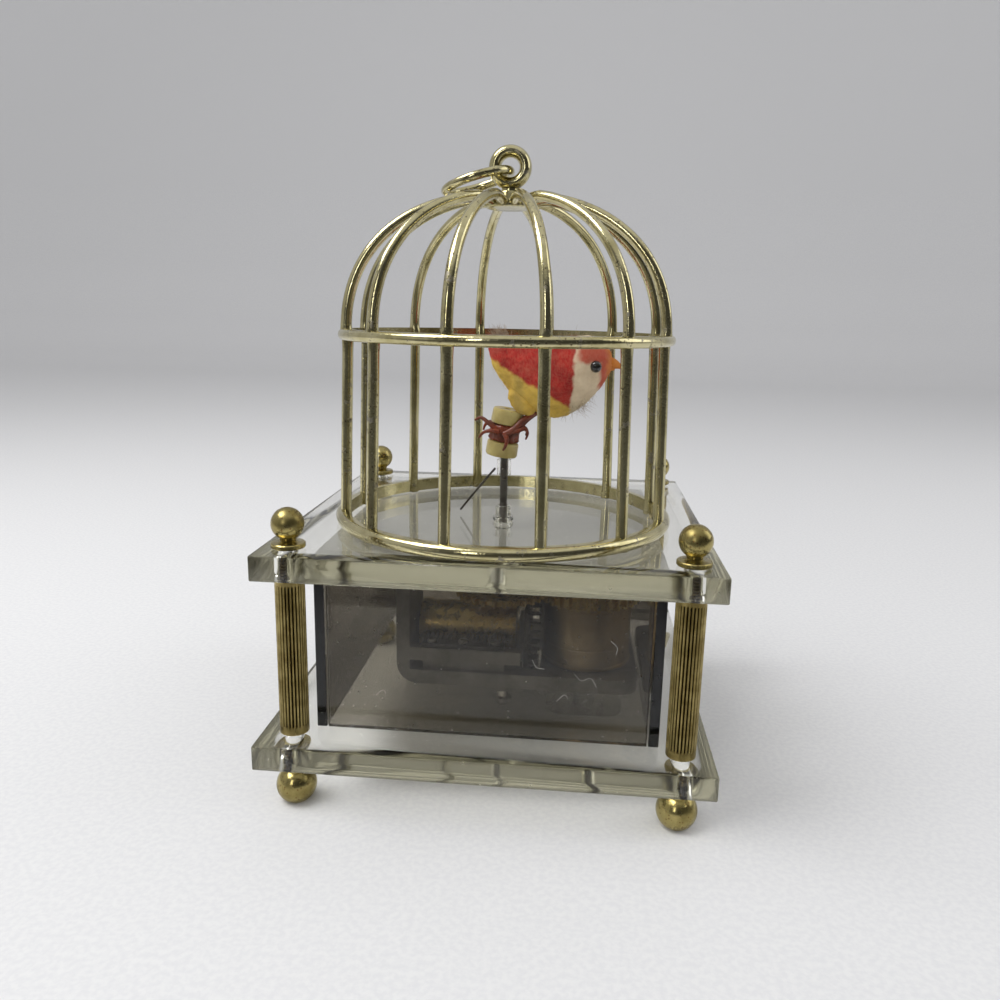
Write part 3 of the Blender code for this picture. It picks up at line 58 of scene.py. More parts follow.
def fresh(operator, **settings):
    # a new primitive, with nothing else selected
    deselectAll()
    operator(**settings)
    return bpy.context.object


def pick(piece):
    deselectAll()
    piece.select_set(True)
    bpy.context.view_layer.objects.active = piece


def editAll():
    bpy.ops.object.mode_set(mode="EDIT")
    bpy.ops.mesh.select_all(action="SELECT")


def editWhere(piece, kind, test):
    # into edit mode with only the vertices or edges that pass the test
    editAll()
    bpy.ops.mesh.select_all(action="DESELECT")
    bpy.ops.object.mode_set(mode="OBJECT")
    for part in getattr(piece.data, kind):
        part.select = test(part)
    bpy.ops.object.mode_set(mode="EDIT")


def closeUp():
    # merge doubles and point every face outwards
    editAll()
    bpy.ops.mesh.remove_doubles(threshold=1e-6)
    bpy.ops.mesh.normals_make_consistent(inside=False)
    bpy.ops.object.mode_set(mode="OBJECT")


def settle(piece, place):
    # move a piece and work its place into its mesh
    piece.matrix_world = place
    pick(piece)
    bpy.ops.object.transform_apply()


def turnUp(rings, segments, centre=(0, 0), hollow=False):
    # a disc or ring drawn up along Z through (radius, height) rings; hollow ends where it began
    radius, height = rings[0]
    fresh(bpy.ops.mesh.primitive_circle_add, vertices=segments, radius=radius,
          fill_type="NOTHING" if hollow else "NGON", location=(*centre, height))
    editAll()
    for nextRadius, nextHeight in rings[1:]:
        bpy.ops.mesh.extrude_region_move(TRANSFORM_OT_translate={"value": (0, 0, nextHeight - height)})
        share = nextRadius / radius
        bpy.ops.transform.resize(value=(share, share, 1), center_override=(*centre, nextHeight))
        radius, height = nextRadius, nextHeight
    closeUp()
    bpy.ops.object.transform_apply()
    return bpy.context.object


def ballRings(radius, centre, low, high, steps):
    # rings of a ball between two angles above its equator
    angles = [low + (high - low) * step / steps for step in range(steps + 1)]
    return [(radius * math.cos(angle), centre + radius * math.sin(angle)) for angle in angles]


def blockBetween(low, high, edge=0.0, steps=1):
    # a box between two corners with rounded edges
    block = fresh(bpy.ops.mesh.primitive_cube_add, size=1, location=[(a + b) / 2 for a, b in zip(low, high)])
    block.scale = [b - a for a, b in zip(low, high)]
    bpy.ops.object.transform_apply()
    if edge:
        editAll()
        bpy.ops.mesh.bevel(offset=edge, segments=steps, affect="EDGES")
        bpy.ops.object.mode_set(mode="OBJECT")
    return block


def roundTool(x, y, radius, low, high):
    return fresh(bpy.ops.mesh.primitive_cylinder_add, vertices=32, radius=radius, depth=high - low,
                 location=(x, y, (low + high) / 2))


def modify(piece, kind, **settings):
    # a modifier added, set and applied
    pick(piece)
    modifier = piece.modifiers.new(kind.lower(), kind)
    for key, value in settings.items():
        setattr(modifier, key, value)
    bpy.ops.object.modifier_apply(modifier=modifier.name)


def cut(piece, tools, operation="DIFFERENCE"):
    # take the tools out of the piece, or add them to it
    for tool in tools:
        modify(piece, "BOOLEAN", operation=operation, object=tool)
        bpy.data.objects.remove(tool)
    return piece


def rodThrough(points, radius, sides, thickness=None):
    # a round rod through points, its thickness a share at each point
    line = bpy.data.curves.new("line", "CURVE")
    line.dimensions = "3D"
    line.bevel_depth = radius
    line.bevel_resolution = sides
    line.use_fill_caps = True
    spline = line.splines.new("POLY")
    spline.points.add(len(points) - 1)
    for number, point in enumerate(points):
        spline.points[number].co = (*point, 1)
        spline.points[number].radius = thickness[number] if thickness else 1
    rod = bpy.data.objects.new("rod", line)
    bpy.context.collection.objects.link(rod)
    pick(rod)
    bpy.ops.object.convert(target="MESH")
    closeUp()
    return bpy.context.object


def between(before, start, end, after, t):
    # a soft curve from start to end; t is the share of the way
    return 0.5 * ((2 * start) + (end - before) * t + (2 * before - 5 * start + 4 * end - after) * t ** 2
                  + (3 * start - before - 3 * end + after) * t ** 3)


def smoothLine(points, steps):
    # points of a soft curve that passes through the given ones
    padded = [points[0], *points, points[-1]]
    spans = zip(padded, padded[1:], padded[2:], padded[3:])
    return [between(*span, step / steps) for span in spans for step in range(steps)] + [points[-1]]


def joined(pieces):
    pick(pieces[0])
    for piece in pieces[1:]:
        piece.select_set(True)
    bpy.ops.object.join()
    return bpy.context.object


def copyOf(piece, place):
    twin = piece.copy()
    twin.data = piece.data.copy()
    bpy.context.collection.objects.link(twin)
    twin.matrix_world = place @ piece.matrix_world
    return twin


def finished(piece, name, look, body, stands=(), smooth=35):
    # place into the mesh, name, material, body and the nodes that the piece stands for
    pick(piece)
    bpy.ops.object.transform_apply()
    bpy.ops.object.shade_smooth_by_angle(angle=math.radians(smooth))
    piece.name = name
    piece.data.name = name
    piece.data.materials.clear()
    piece.data.materials.append(look)
    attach(piece, body)
    if stands:
        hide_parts(*stands)


def dress(look, *names):
    # a new material for CAD nodes that stay
    for name in names:
        nodes[name].data.materials.clear()
        nodes[name].data.materials.append(look)


# Small helpers for materials: a tree is found from the socket that comes in

def plug(value, socket):
    # link an output, or set a value; a colour is given as red, green and blue
    if hasattr(value, "links"):
        socket.id_data.links.new(value, socket)
    elif socket.type == "RGBA":
        socket.default_value = (*value, 1.0)
    else:
        socket.default_value = value


def addNode(tree, kind, values=None, **settings):
    made = tree.nodes.new("ShaderNode" + kind)
    for key, value in settings.items():
        setattr(made, key, value)
    for key, value in (values or {}).items():
        plug(value, made.inputs[key])
    return made


def maths(operation, first, second=0.0):
    return addNode(first.id_data, "Math", {0: first, 1: second}, operation=operation).outputs[0]


def ramp(value, low, high, lowValue=0.0, highValue=1.0):
    # a smooth step from low to high
    limits = {"Value": value, "From Min": low, "From Max": high, "To Min": lowValue, "To Max": highValue}
    return addNode(value.id_data, "MapRange", limits, interpolation_type="SMOOTHSTEP").outputs[0]


def blend(share, first, second):
    # a colour between two, by a share
    return addNode(share.id_data, "Mix", {0: share, 6: first, 7: second}, data_type="RGBA").outputs[2]


def apart(place):
    return addNode(place.id_data, "SeparateXYZ", {0: place}).outputs


def noise(place, scale, detail=2.0, **others):
    values = {"Vector": place, "Scale": scale, "Detail": detail, **others}
    return addNode(place.id_data, "TexNoise", values).outputs["Fac"]


# Shared effects, built once as node groups

def newGroup(name, gives, **takes):
    group = bpy.data.node_groups.new(name, "ShaderNodeTree")
    group.interface.new_socket("Vector", in_out="INPUT", socket_type="NodeSocketVector")
    for title, value in takes.items():
        socket = group.interface.new_socket(title, in_out="INPUT", socket_type="NodeSocketFloat")
        socket.default_value = value
    for title in gives:
        group.interface.new_socket(title, in_out="OUTPUT", socket_type="NodeSocketFloat")
    return group, group.nodes.new("NodeGroupInput").outputs, group.nodes.new("NodeGroupOutput").inputs


def roundSpots(group, given):
    # the distance to the nearest cell's centre, under the given size, and the cell's own chance colour
    cells = addNode(group, "TexVoronoi", {"Vector": given["Vector"], "Scale": given["Scale"]}).outputs
    return maths("LESS_THAN", cells["Distance"], given["Size"]), cells["Color"]


def makePits():
    # small round pits in plated metal or cast plastic
    group, given, out = newGroup("pits", ("Mask", "Height"), Scale=900.0, Size=0.25, Share=0.4)
    deep, _ = roundSpots(group, given)
    chosen = maths("LESS_THAN", noise(given["Vector"], 190.0), given["Share"])
    both = maths("MULTIPLY", chosen, deep)
    plug(both, out["Mask"])
    plug(addNode(group, "Math", {0: 1.0, 1: both}, operation="SUBTRACT").outputs[0], out["Height"])
    return group


def makeBlotches():
    # soft uneven patches, as tarnish, handling or dye
    group, given, out = newGroup("blotches", ("Mask",), Scale=120.0, Low=0.4, High=0.65)
    cloud = noise(given["Vector"], given["Scale"], 5.0, Roughness=0.6)
    step = addNode(group, "MapRange", {"Value": cloud, "From Min": given["Low"], "From Max": given["High"]})
    plug(step.outputs[0], out["Mask"])
    return group


def makeSpecks():
    # dust and lint: sparse round specks
    group, given, out = newGroup("specks", ("Mask",), Scale=700.0, Size=0.12, Share=0.45)
    near, chance = roundSpots(group, given)
    red = addNode(group, "SeparateColor", {"Color": chance}).outputs[0]
    plug(maths("MULTIPLY", maths("LESS_THAN", red, given["Share"]), near), out["Mask"])
    return group


def makeFibres():
    # fine crossed fibres of flock and cotton wool
    group, given, out = newGroup("fibres", ("Mask", "Height"), Scale=900.0, Stretch=6.0)
    longer = addNode(group, "CombineXYZ", {0: given["Stretch"], 1: 1.0, 2: 1.0}).outputs[0]
    layers = []
    for turn in ((0.3, 0.2, 0.6), (1.1, 0.5, -0.5), (0.4, 1.3, 1.4)):
        bent = addNode(group, "Mapping", {"Vector": given["Vector"], "Rotation": turn}).outputs[0]
        pulled = addNode(group, "VectorMath", {0: bent, 1: longer}, operation="MULTIPLY").outputs[0]
        layers.append(noise(pulled, given["Scale"], 3.0, Distortion=0.5))
    third = maths("MULTIPLY", maths("ADD", maths("ADD", layers[0], layers[1]), layers[2]), 1 / 3)
    plug(ramp(third, 0.42, 0.58), out["Mask"])
    plug(third, out["Height"])
    return group


groups = {"pits": makePits(), "blotches": makeBlotches(), "specks": makeSpecks(), "fibres": makeFibres()}


def effect(name, place, **values):
    # one of the shared effects, placed in a material
    node = place.id_data.nodes.new("ShaderNodeGroup")
    node.node_tree = groups[name]
    for key, value in {"Vector": place, **values}.items():
        plug(value, node.inputs[key])
    return node.outputs


def blotches(place, scale, low, high):
    return effect("blotches", place, Scale=scale, Low=low, High=high)["Mask"]


def specks(place, scale, size, share):
    return effect("specks", place, Scale=scale, Size=size, Share=share)["Mask"]


def newLook(name, slotName, **values):
    # a material with its Principled shader and Object coordinates
    look = bpy.data.materials.new(name)
    look.use_nodes = True
    shader = look.node_tree.nodes["Principled BSDF"]
    feed(shader, **values)
    return look, shader, addNode(look.node_tree, "TexCoord").outputs["Object"]


def feed(shader, **values):
    for key, value in values.items():
        plug(value, shader.inputs[key.replace("_", " ")])


def bump(shader, height, strength, distance):
    values = {"Height": height, "Strength": strength, "Distance": distance}
    feed(shader, Normal=addNode(shader.id_data, "Bump", values).outputs["Normal"])


def toOutput(value, name):
    plug(value, value.id_data.nodes["Material Output"].inputs[name])


def letLightThrough(shader, share):
    # lamps reach what is behind the sheet, as they do through real acrylic
    tree = shader.id_data
    part = maths("MULTIPLY", addNode(tree, "LightPath").outputs["Is Shadow Ray"], share)
    bare = addNode(tree, "BsdfTransparent").outputs[0]
    toOutput(addNode(tree, "MixShader", {0: part, 1: shader.outputs[0], 2: bare}).outputs[0], "Surface")


def soak(shader, tint, density):
    values = {"Color": tint, "Density": density}
    toOutput(addNode(shader.id_data, "VolumeAbsorption", values).outputs[0], "Volume")


print("helpers and shared effects ready")


# Sizes shared with the solids

places = {"front_left": (-1, -1), "front_right": (1, -1), "back_left": (-1, 1), "back_right": (1, 1)}
columns = {"spacingX": 76.5 * mm, "spacingY": 76.8 * mm, "radius": 2.9 * mm, "flutes": 26,
           "fluteDepth": 0.4 * mm, "plainBand": 1.5 * mm, "runOut": 0.35 * mm, "studRadius": 1.25 * mm,
           "tipRadius": 0.9 * mm, "tipLow": 4.5 * mm, "tipHigh": 57.9 * mm, "tipTaper": 0.3 * mm,
           "leftTurn": math.radians(7)}
levels = {"bottomPlate": 10.0 * mm, "floor": 15.0 * mm, "topPlate": 48.1 * mm, "deck": 53.1 * mm}
gap = 0.3 * mm
spindleAt = (0.4 * mm, -9.5 * mm)
cageAt = (0.2 * mm, -7.3 * mm)
drumAt = (20 * mm, -2 * mm)


def atCorners(model, kind, form, look, smooth, leftTurn, rightTurn):
    # a copy of the model at each corner; the model itself goes
    for place, (sideX, sideY) in places.items():
        spot = Matrix.Translation((sideX * columns["spacingX"] / 2, sideY * columns["spacingY"] / 2, 0))
        turn = Matrix.Rotation(leftTurn if sideX < 0 else rightTurn, 4, "Z")
        name = f"{kind}_{place}"
        finished(copyOf(model, spot @ turn), f"{name}_{form}", look, "base", [name], smooth)
    bpy.data.objects.remove(model)
    print(kind, "pieces done")


# Clear and smoked sheet

def clearAcrylic():
    # polished clear acrylic, faintly yellow through its length, with a few scuffs and sawn edges
    look, shader, place = newLook("clearAcrylic", "clear_acrylic", Base_Color=(0.98, 0.98, 0.96), IOR=1.49,
                                  Transmission_Weight=1.0)
    scuffs = ramp(blotches(place, 95.0, 0.5, 0.78), 0.0, 1.0, 0.015, 0.11)
    worn = maths("ADD", scuffs, maths("MULTIPLY", specks(place, 620.0, 0.09, 0.16), 0.5))
    x, y, _ = apart(place)
    beyondX = ramp(maths("ABSOLUTE", x), 43.6 * mm, 43.95 * mm)
    beyondY = ramp(maths("ABSOLUTE", y), 44.2 * mm, 44.55 * mm)
    sawn = maths("MULTIPLY", maths("MAXIMUM", beyondX, beyondY), 0.1)
    feed(shader, Roughness=maths("ADD", worn, sawn))
    bump(shader, noise(place, 70.0), 0.05, 0.0002)
    letLightThrough(shader, 0.92)
    soak(shader, (0.70, 0.68, 0.54), 27.0)
    return look


def smokedAcrylic():
    # smoked sheet: dark along its length, grey-brown through its thickness, dusty
    look, shader, place = newLook("smokedAcrylic", "smoked_acrylic", IOR=1.49, Transmission_Weight=1.0,
                                  Base_Color=(0.97, 0.95, 0.93))
    dust = specks(place, 900.0, 0.13, 0.12)
    haze = ramp(blotches(place, 60.0, 0.42, 0.8), 0.0, 1.0, 0.03, 0.12)
    feed(shader, Roughness=maths("MAXIMUM", haze, dust))
    letLightThrough(shader, 0.92)
    soak(shader, (0.46, 0.425, 0.345), 1050.0)
    return look


def smokedLid():
    # the box's lid under the top plate: the same sheet, but with a matt grey bloom all over
    look, shader, place = newLook("smokedLid", "smoked_acrylic", Transmission_Weight=0.2, IOR=1.49)
    bloom = blotches(place, 40.0, 0.35, 0.7)
    base = blend(bloom, (0.34, 0.335, 0.31), (0.29, 0.285, 0.26))
    feed(shader, Base_Color=blend(specks(place, 600.0, 0.1, 0.1), base, (0.5, 0.49, 0.46)),
         Roughness=ramp(bloom, 0.0, 1.0, 0.4, 0.55))
    letLightThrough(shader, 0.8)
    return look


plates = {"edge": 0.3 * mm, "holeRadius": 1.85 * mm, "bubbleRadius": 0.28 * mm, "bubbleDepth": 1.3 * mm,
          "holes": {"bottom_plate": [(*drumAt, 1.5 * mm), (1.3 * mm, -12.1 * mm, 1.2 * mm),
                                     (-12.0 * mm, 14.7 * mm, 1.2 * mm)],
                    "top_plate": [(*spindleAt, 1.95 * mm)]},
          "chips": [(-8.5, 0.55), (2.1, 0.4), (10.5, 0.5), (-31.5, 0.35), (27.0, 0.4)],
          "bubbles": [(-41.3, 12.1, 0.8), (-39.2, 11.3, 0.6), (-40.4, 13.4, 0.45), (-37.6, 12.5, 0.5)]}


def chip(x, y, z, size):
    # a flat-sided tool that knocks a small shell out of an edge
    tool = fresh(bpy.ops.mesh.primitive_ico_sphere_add, subdivisions=1, radius=size, location=(x, y, z),
                 rotation=(0.4 + x * 40, 0.7, x * 90))
    tool.scale = (1.6, 0.6, 0.6)
    return tool


def makePlates(look):
    corners = [(x * columns["spacingX"] / 2, y * columns["spacingY"] / 2, plates["holeRadius"])
               for x, y in places.values()]
    for name, holes in plates["holes"].items():
        low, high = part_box(name)
        plate = blockBetween(low, high, plates["edge"], 2)
        tools = [roundTool(*hole, low.z - mm, high.z + mm) for hole in corners + holes]
        if name == "top_plate":
            tools += [chip(x * mm, low.y, low.z, size * mm) for x, size in plates["chips"]]
        else:
            tools += [fresh(bpy.ops.mesh.primitive_uv_sphere_add, segments=16, ring_count=10,
                            location=(x * mm, low.y + plates["bubbleDepth"], z * mm),
                            radius=plates["bubbleRadius"] * size) for x, z, size in plates["bubbles"]]
        finished(cut(plate, tools), name + "_clear", look, "base", [name], 25)
    print("plates done")


box = {"edge": 0.12 * mm, "lidHole": 1.9 * mm}


def makeSmokedBox(look, lidLook):
    for side in ("front", "back", "left", "right"):
        name = "smoked_" + side
        finished(blockBetween(*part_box(name), box["edge"]), name + "_wall", look, "base", [name], 25)
    low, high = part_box("smoked_top")
    lid = blockBetween(low, high, box["edge"])
    hole = roundTool(*spindleAt, box["lidHole"], low.z - mm, high.z + mm)
    finished(cut(lid, [hole]), "smoked_top_lid", lidLook, "base", ["smoked_top"], 25)
    print("smoked box done")


# Fluted columns with their studs

def agedBrassGrooveShade():
    # column brass with painted shade, dark in the grooves by distance from each column's axis
    look, shader, place = newLook("agedBrassGrooveShade", "aged_brass", Metallic=1.0)
    streak = addNode(place.id_data, "Mapping", {"Vector": place, "Scale": (1.0, 1.0, 0.12)}).outputs[0]
    lines = noise(streak, 1500.0)
    base = blend(blotches(place, 260.0, 0.38, 0.66), (0.40, 0.32, 0.13), (0.20, 0.15, 0.05))
    # painted shade: the flute grooves go near black, and the ridges keep the brass colour
    feed(shader, Base_Color=blend(ramp(grooveDepth(place), 0.0, 1.0), base, (0.05, 0.035, 0.012)),
         Roughness=ramp(lines, 0.3, 0.7, 0.26, 0.48))
    bump(shader, lines, 0.12, 0.00005)
    return look


def grooveDepth(place):
    # 1 at the bottom of a flute and 0 on its ridge, for the four columns alike; the mask of the painted
    # groove shade
    squares = []
    for side, spacing in zip(apart(place), (columns["spacingX"], columns["spacingY"])):
        away = maths("SUBTRACT", maths("ABSOLUTE", side), spacing / 2)
        squares.append(maths("POWER", away, 2.0))
    radius = maths("POWER", maths("ADD", *squares), 0.5)
    return ramp(radius, columns["radius"] - 0.04 * mm, columns["radius"] - columns["fluteDepth"] * 0.7)


def threadRings(low, high, pitch=0.5 * mm, depth=0.16 * mm):
    rings = []
    height = low
    while height < high - pitch:
        rings += [(columns["studRadius"] - depth, height), (columns["studRadius"], height + pitch / 2)]
        height += pitch
    return rings


def makeColumns(look):
    low, high = levels["floor"] + gap, levels["topPlate"] - gap
    flutes, band, runOut = columns["flutes"], columns["plainBand"], columns["runOut"]
    column = fresh(bpy.ops.mesh.primitive_circle_add, vertices=flutes * 6, radius=columns["radius"],
                   fill_type="NGON", location=(0, 0, low))
    editAll()
    for rise in (band, runOut, high - low - 2 * band - 2 * runOut, runOut, band):
        bpy.ops.mesh.extrude_region_move(TRANSFORM_OT_translate={"value": (0, 0, rise)})
    bpy.ops.mesh.select_all(action="DESELECT")
    bpy.ops.object.mode_set(mode="OBJECT")
    for corner in column.data.vertices:
        if low + band + 0.1 * mm < corner.co.z + low < high - band - 0.1 * mm:
            turn = math.atan2(corner.co.y, corner.co.x) * flutes
            depth = columns["fluteDepth"] * max(0.0, math.cos(turn)) ** 1.3
            corner.co.xy = corner.co.xy.normalized() * (columns["radius"] - depth)
    radius, tip, plate = columns["studRadius"], columns["tipRadius"], levels["bottomPlate"]
    tipLow, tipHigh, taper = columns["tipLow"], columns["tipHigh"], columns["tipTaper"]
    stud = turnUp([(tip * 0.8, tipLow), (tip, tipLow + taper), (tip, plate),
                   *threadRings(plate + 0.1 * mm, low - 0.1 * mm), (radius, low)], 24)
    shoulder = levels["deck"] - gap
    upper = turnUp([(radius, high), *threadRings(high + 0.1 * mm, shoulder), (tip, shoulder),
                    (tip, tipHigh - taper), (tip * 0.8, tipHigh)], 24)
    closeUp()
    atCorners(joined([column, stud, upper]), "column", "fluted", look, 28, columns["leftTurn"], 0)


# Ball feet and ball finials

balls = {"footRadius": 4.05 * mm, "footFlat": 2.1 * mm, "footNeck": 2.3 * mm, "flange": 3.3 * mm,
         "flangeHeight": 1.0 * mm, "finialRadius": 3.16 * mm, "finialNeck": 1.6 * mm, "soft": 0.18 * mm,
         "footBoreEnd": 4.0 * mm, "finialBoreEnd": 58.3 * mm}


def polishedBrass():
    # handled brass balls: bright, with brown freckles and small dents
    look, shader, place = newLook("polishedBrass", "polished_brass", Metallic=1.0)
    aged = blotches(place, 190.0, 0.46, 0.66)
    base = blend(aged, (0.42, 0.35, 0.14), (0.25, 0.20, 0.07))
    feed(shader, Base_Color=blend(specks(place, 1900.0, 0.32, 0.3), base, (0.20, 0.12, 0.04)),
         Roughness=ramp(aged, 0.0, 1.0, 0.22, 0.42))
    bump(shader, noise(place, 420.0, 3.0), 0.14, 0.0001)
    return look


def flangeRings(low, high):
    soft, flange = balls["soft"], balls["flange"]
    return [(flange - soft, low), (flange, low + soft), (flange, high - soft), (flange - soft, high)]


def makeFeet(look):
    radius, flat, neck = balls["footRadius"], balls["footFlat"], balls["footNeck"]
    top = levels["bottomPlate"] - gap
    under = top - balls["flangeHeight"]
    ball = ballRings(radius, math.sqrt(radius ** 2 - flat ** 2), -math.acos(flat / radius),
                     math.acos(neck / radius), 26)
    hole = columns["studRadius"] + 0.3 * mm
    foot = turnUp([(flat * 0.6, 0.0), *ball, (neck, under - 0.1 * mm), (neck + balls["soft"], under),
                   *flangeRings(under, top), (hole, top), (hole, balls["footBoreEnd"])], 56)
    atCorners(foot, "foot", "ball", look, 40, 0.4, 0.4)


def makeFinials(look):
    radius, neck = balls["finialRadius"], balls["finialNeck"]
    low = levels["deck"] + gap
    top = low + balls["flangeHeight"]
    lowest = -math.acos(neck / radius)
    hole = columns["tipRadius"] + 0.25 * mm
    centre = top + 0.9 * mm - radius * math.sin(lowest)
    ball = ballRings(radius, centre, lowest, math.radians(86), 26)
    finial = turnUp([(hole, balls["finialBoreEnd"]), (hole, low), *flangeRings(low, top),
                     (neck + 0.35 * mm, top), (neck - 0.1 * mm, top + 0.35 * mm), *ball], 56)
    atCorners(finial, "finial", "ball", look, 40, 0.9, 0.9)


# Movement inside the smoked box

def plainMetal(name, slotName, base, stained, roughness):
    # turned or stamped metal of the movement, with grain and stains
    look, shader, place = newLook(name, slotName, Metallic=1.0)
    lines = noise(place, 600.0, 3.0, Distortion=0.6)
    feed(shader, Base_Color=blend(blotches(place, 170.0, 0.42, 0.7), base, stained),
         Roughness=ramp(lines, 0.3, 0.7, roughness * 0.75, roughness * 1.5))
    bump(shader, lines, 0.15, 0.00005)
    return look


def castZinc():
    # grey die casting with a grainy skin
    look, shader, place = newLook("castZinc", "cast_zinc", Metallic=0.85)
    grain = noise(place, 1400.0, 4.0)
    feed(shader, Base_Color=blend(blotches(place, 110.0, 0.4, 0.7), (0.50, 0.50, 0.49), (0.33, 0.33, 0.32)),
         Roughness=ramp(grain, 0.3, 0.7, 0.4, 0.65))
    bump(shader, grain, 0.3, 0.00008)
    return look


def castAndWheels(zinc, brass, dark, bright):
    # nodes whose own solids are right for what the smoked walls let through
    dress(zinc, "bedplate")
    dress(brass, "drum_wheel", "spindle_wheel", "governor_wheel")
    dress(dark, "mainspring", "comb", "cylinder_wheel", "fan_worm", "winding_arbor")
    dress(bright, "bedplate_screw_front", "bedplate_screw_back", "winding_key")


barrel = {"radius": 10 * mm, "rim": 10.3 * mm, "inner": 9.4 * mm, "hole": 2.1 * mm, "rimHeight": 0.6 * mm,
          "soft": 0.15 * mm, "floor": 0.6 * mm, "groove": 0.06 * mm, "grooveLow": 4.5 * mm,
          "grooveHigh": 5.0 * mm, "grooveSlope": 0.1 * mm}


def makeBarrel(look):
    low, high = (corner.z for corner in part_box("spring_drum"))
    radius, rim, hole, step, soft = (barrel[key] for key in ("radius", "rim", "hole", "rimHeight", "soft"))
    worn, floor, slope = radius - barrel["groove"], low + barrel["floor"], barrel["grooveSlope"]
    grooveLow, grooveHigh = low + barrel["grooveLow"], low + barrel["grooveHigh"]
    rings = [(hole, low), (rim - soft, low), (rim, low + soft), (rim, low + step),
             (radius, low + step * 1.4), (radius, grooveLow), (worn, grooveLow + slope),
             (worn, grooveHigh - slope), (radius, grooveHigh), (radius, high - step * 1.4),
             (rim, high - step), (rim, high - soft), (rim - soft, high), (barrel["inner"], high),
             (barrel["inner"], floor), (hole, floor), (hole, low)]
    finished(turnUp(rings, 96, drumAt, hollow=True), "spring_drum_shell", look, "drum", ["spring_drum"], 30)
    print("spring barrel done")


tune = {"start": -18.7 * mm, "end": 3.8 * mm, "radius": 5.5 * mm, "cap": 5.8 * mm, "stub": 0.9 * mm,
        "capLength": 2 * mm, "notes": 18, "firstNote": 2.07 * mm, "notePitch": 1.02 * mm, "bare": 0.45,
        "pinRadius": 0.14 * mm, "pinReach": 0.22 * mm, "pinsAround": 22}


def makeTuneCylinder(look):
    low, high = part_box("tune_cylinder")
    start, end, radius, cap, stub, length = (tune[key] for key in ("start", "end", "radius", "cap", "stub",
                                                                   "capLength"))
    soft = 0.1 * mm
    cylinder = turnUp([(stub * 0.8, low.x), (stub, low.x + soft), (stub, start), (cap - soft, start),
                       (cap, start + soft), (cap, start + length), (radius, start + length),
                       (radius, end - length), (cap, end - length), (cap, end - soft), (cap - soft, end),
                       (stub, end), (stub, high.x - soft), (stub * 0.8, high.x)], 72)
    model = fresh(bpy.ops.mesh.primitive_cone_add, vertices=6, radius1=tune["pinRadius"],
                  radius2=tune["pinRadius"] * 0.6, depth=tune["pinReach"] * 2)
    lying = Matrix.Rotation(math.radians(90), 4, "Y")
    random.seed(4)
    pins = []
    for note in range(tune["notes"]):
        along = start + tune["firstNote"] + (note + 0.5) * tune["notePitch"]
        for step in range(tune["pinsAround"]):
            if random.random() >= tune["bare"]:
                angle = 2 * math.pi * (step + random.uniform(-0.3, 0.3)) / tune["pinsAround"]
                spot = Matrix.Rotation(angle, 4, "Z") @ Matrix.Translation((radius, 0, along))
                pins.append(copyOf(model, spot @ lying))
    bpy.data.objects.remove(model)
    count = len(pins)
    cylinder = joined([cylinder, *pins])
    middle = (low + high) / 2
    cylinder.matrix_world = Matrix.Translation((0, middle.y, middle.z)) @ lying
    finished(cylinder, "tune_cylinder_pinned", look, "cylinder", ["tune_cylinder"], 30)
    print("tune cylinder done:", count, "pins")


combScrews = {"radius": 1.2 * mm, "height": 0.8 * mm, "fromFront": 1.5 * mm, "shares": (0.12, 0.5, 0.88)}


def slottedHead(x, y, low, radius, height):
    # a round screw head with a slot
    rings = ((0.96, 0), (1, 0.2), (1, 0.6), (0.8, 1), (0.3, 1.02))
    head = turnUp([(radius * wide, low + height * tall) for wide, tall in rings], 32, (x, y))
    slot = blockBetween((x - radius * 1.2, y - radius * 0.14, low + height * 0.55),
                        (x + radius * 1.2, y + radius * 0.14, low + height * 1.4))
    return cut(head, [slot])


def makeCombScrews(look):
    low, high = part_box("comb")
    heads = [slottedHead(low.x + share * (high.x - low.x), low.y + combScrews["fromFront"],
                         high.z + 0.02 * mm, combScrews["radius"], combScrews["height"])
             for share in combScrews["shares"]]
    finished(joined(heads), "comb_screws", look, "base", smooth=30)
    print("comb screws done")


# Wire cage

cage = {"bars": 12, "offset": math.radians(16.5), "barRadius": 1.15 * mm, "domeRise": 28.4 * mm,
        "fullness": 2.25, "bulge": 0.35 * mm, "dipRadius": 9 * mm, "dip": 0.75 * mm,
        "crownRadius": 5.0 * mm, "crownZ": 118.84 * mm, "middleZ": 93.0 * mm, "steps": (14, 26, 4),
        "sides": 160}
hoops = {"base": {"outer": 36.55 * mm, "width": 2.5 * mm, "height": 2.8 * mm, "low": levels["deck"] + gap},
         "middle": {"outer": 35.4 * mm, "width": 2.4 * mm, "height": 2.2 * mm, "low": 91.9 * mm}}


def champagnePlate():
    # pale gold plate over zinc: shiny, pitted, rubbed to warmer or greyer metal in places
    look, shader, place = newLook("champagnePlate", "champagne_plate", Metallic=1.0)
    rubbed = blotches(place, 420.0, 0.6, 0.68)
    pits = effect("pits", place, Scale=1500.0, Size=0.3, Share=0.43)
    base = blend(blotches(place, 150.0, 0.44, 0.7), (0.64, 0.58, 0.34), (0.42, 0.37, 0.18))
    base = blend(rubbed, base, (0.34, 0.31, 0.24))
    feed(shader, Base_Color=blend(pits["Mask"], base, (0.25, 0.21, 0.12)),
         Roughness=ramp(rubbed, 0.0, 1.0, 0.17, 0.42))
    sparkle = maths("MULTIPLY", noise(place, 2600.0), 0.5)
    bump(shader, maths("ADD", maths("ADD", pits["Height"], noise(place, 380.0)), sparkle), 0.45, 0.00008)
    return look


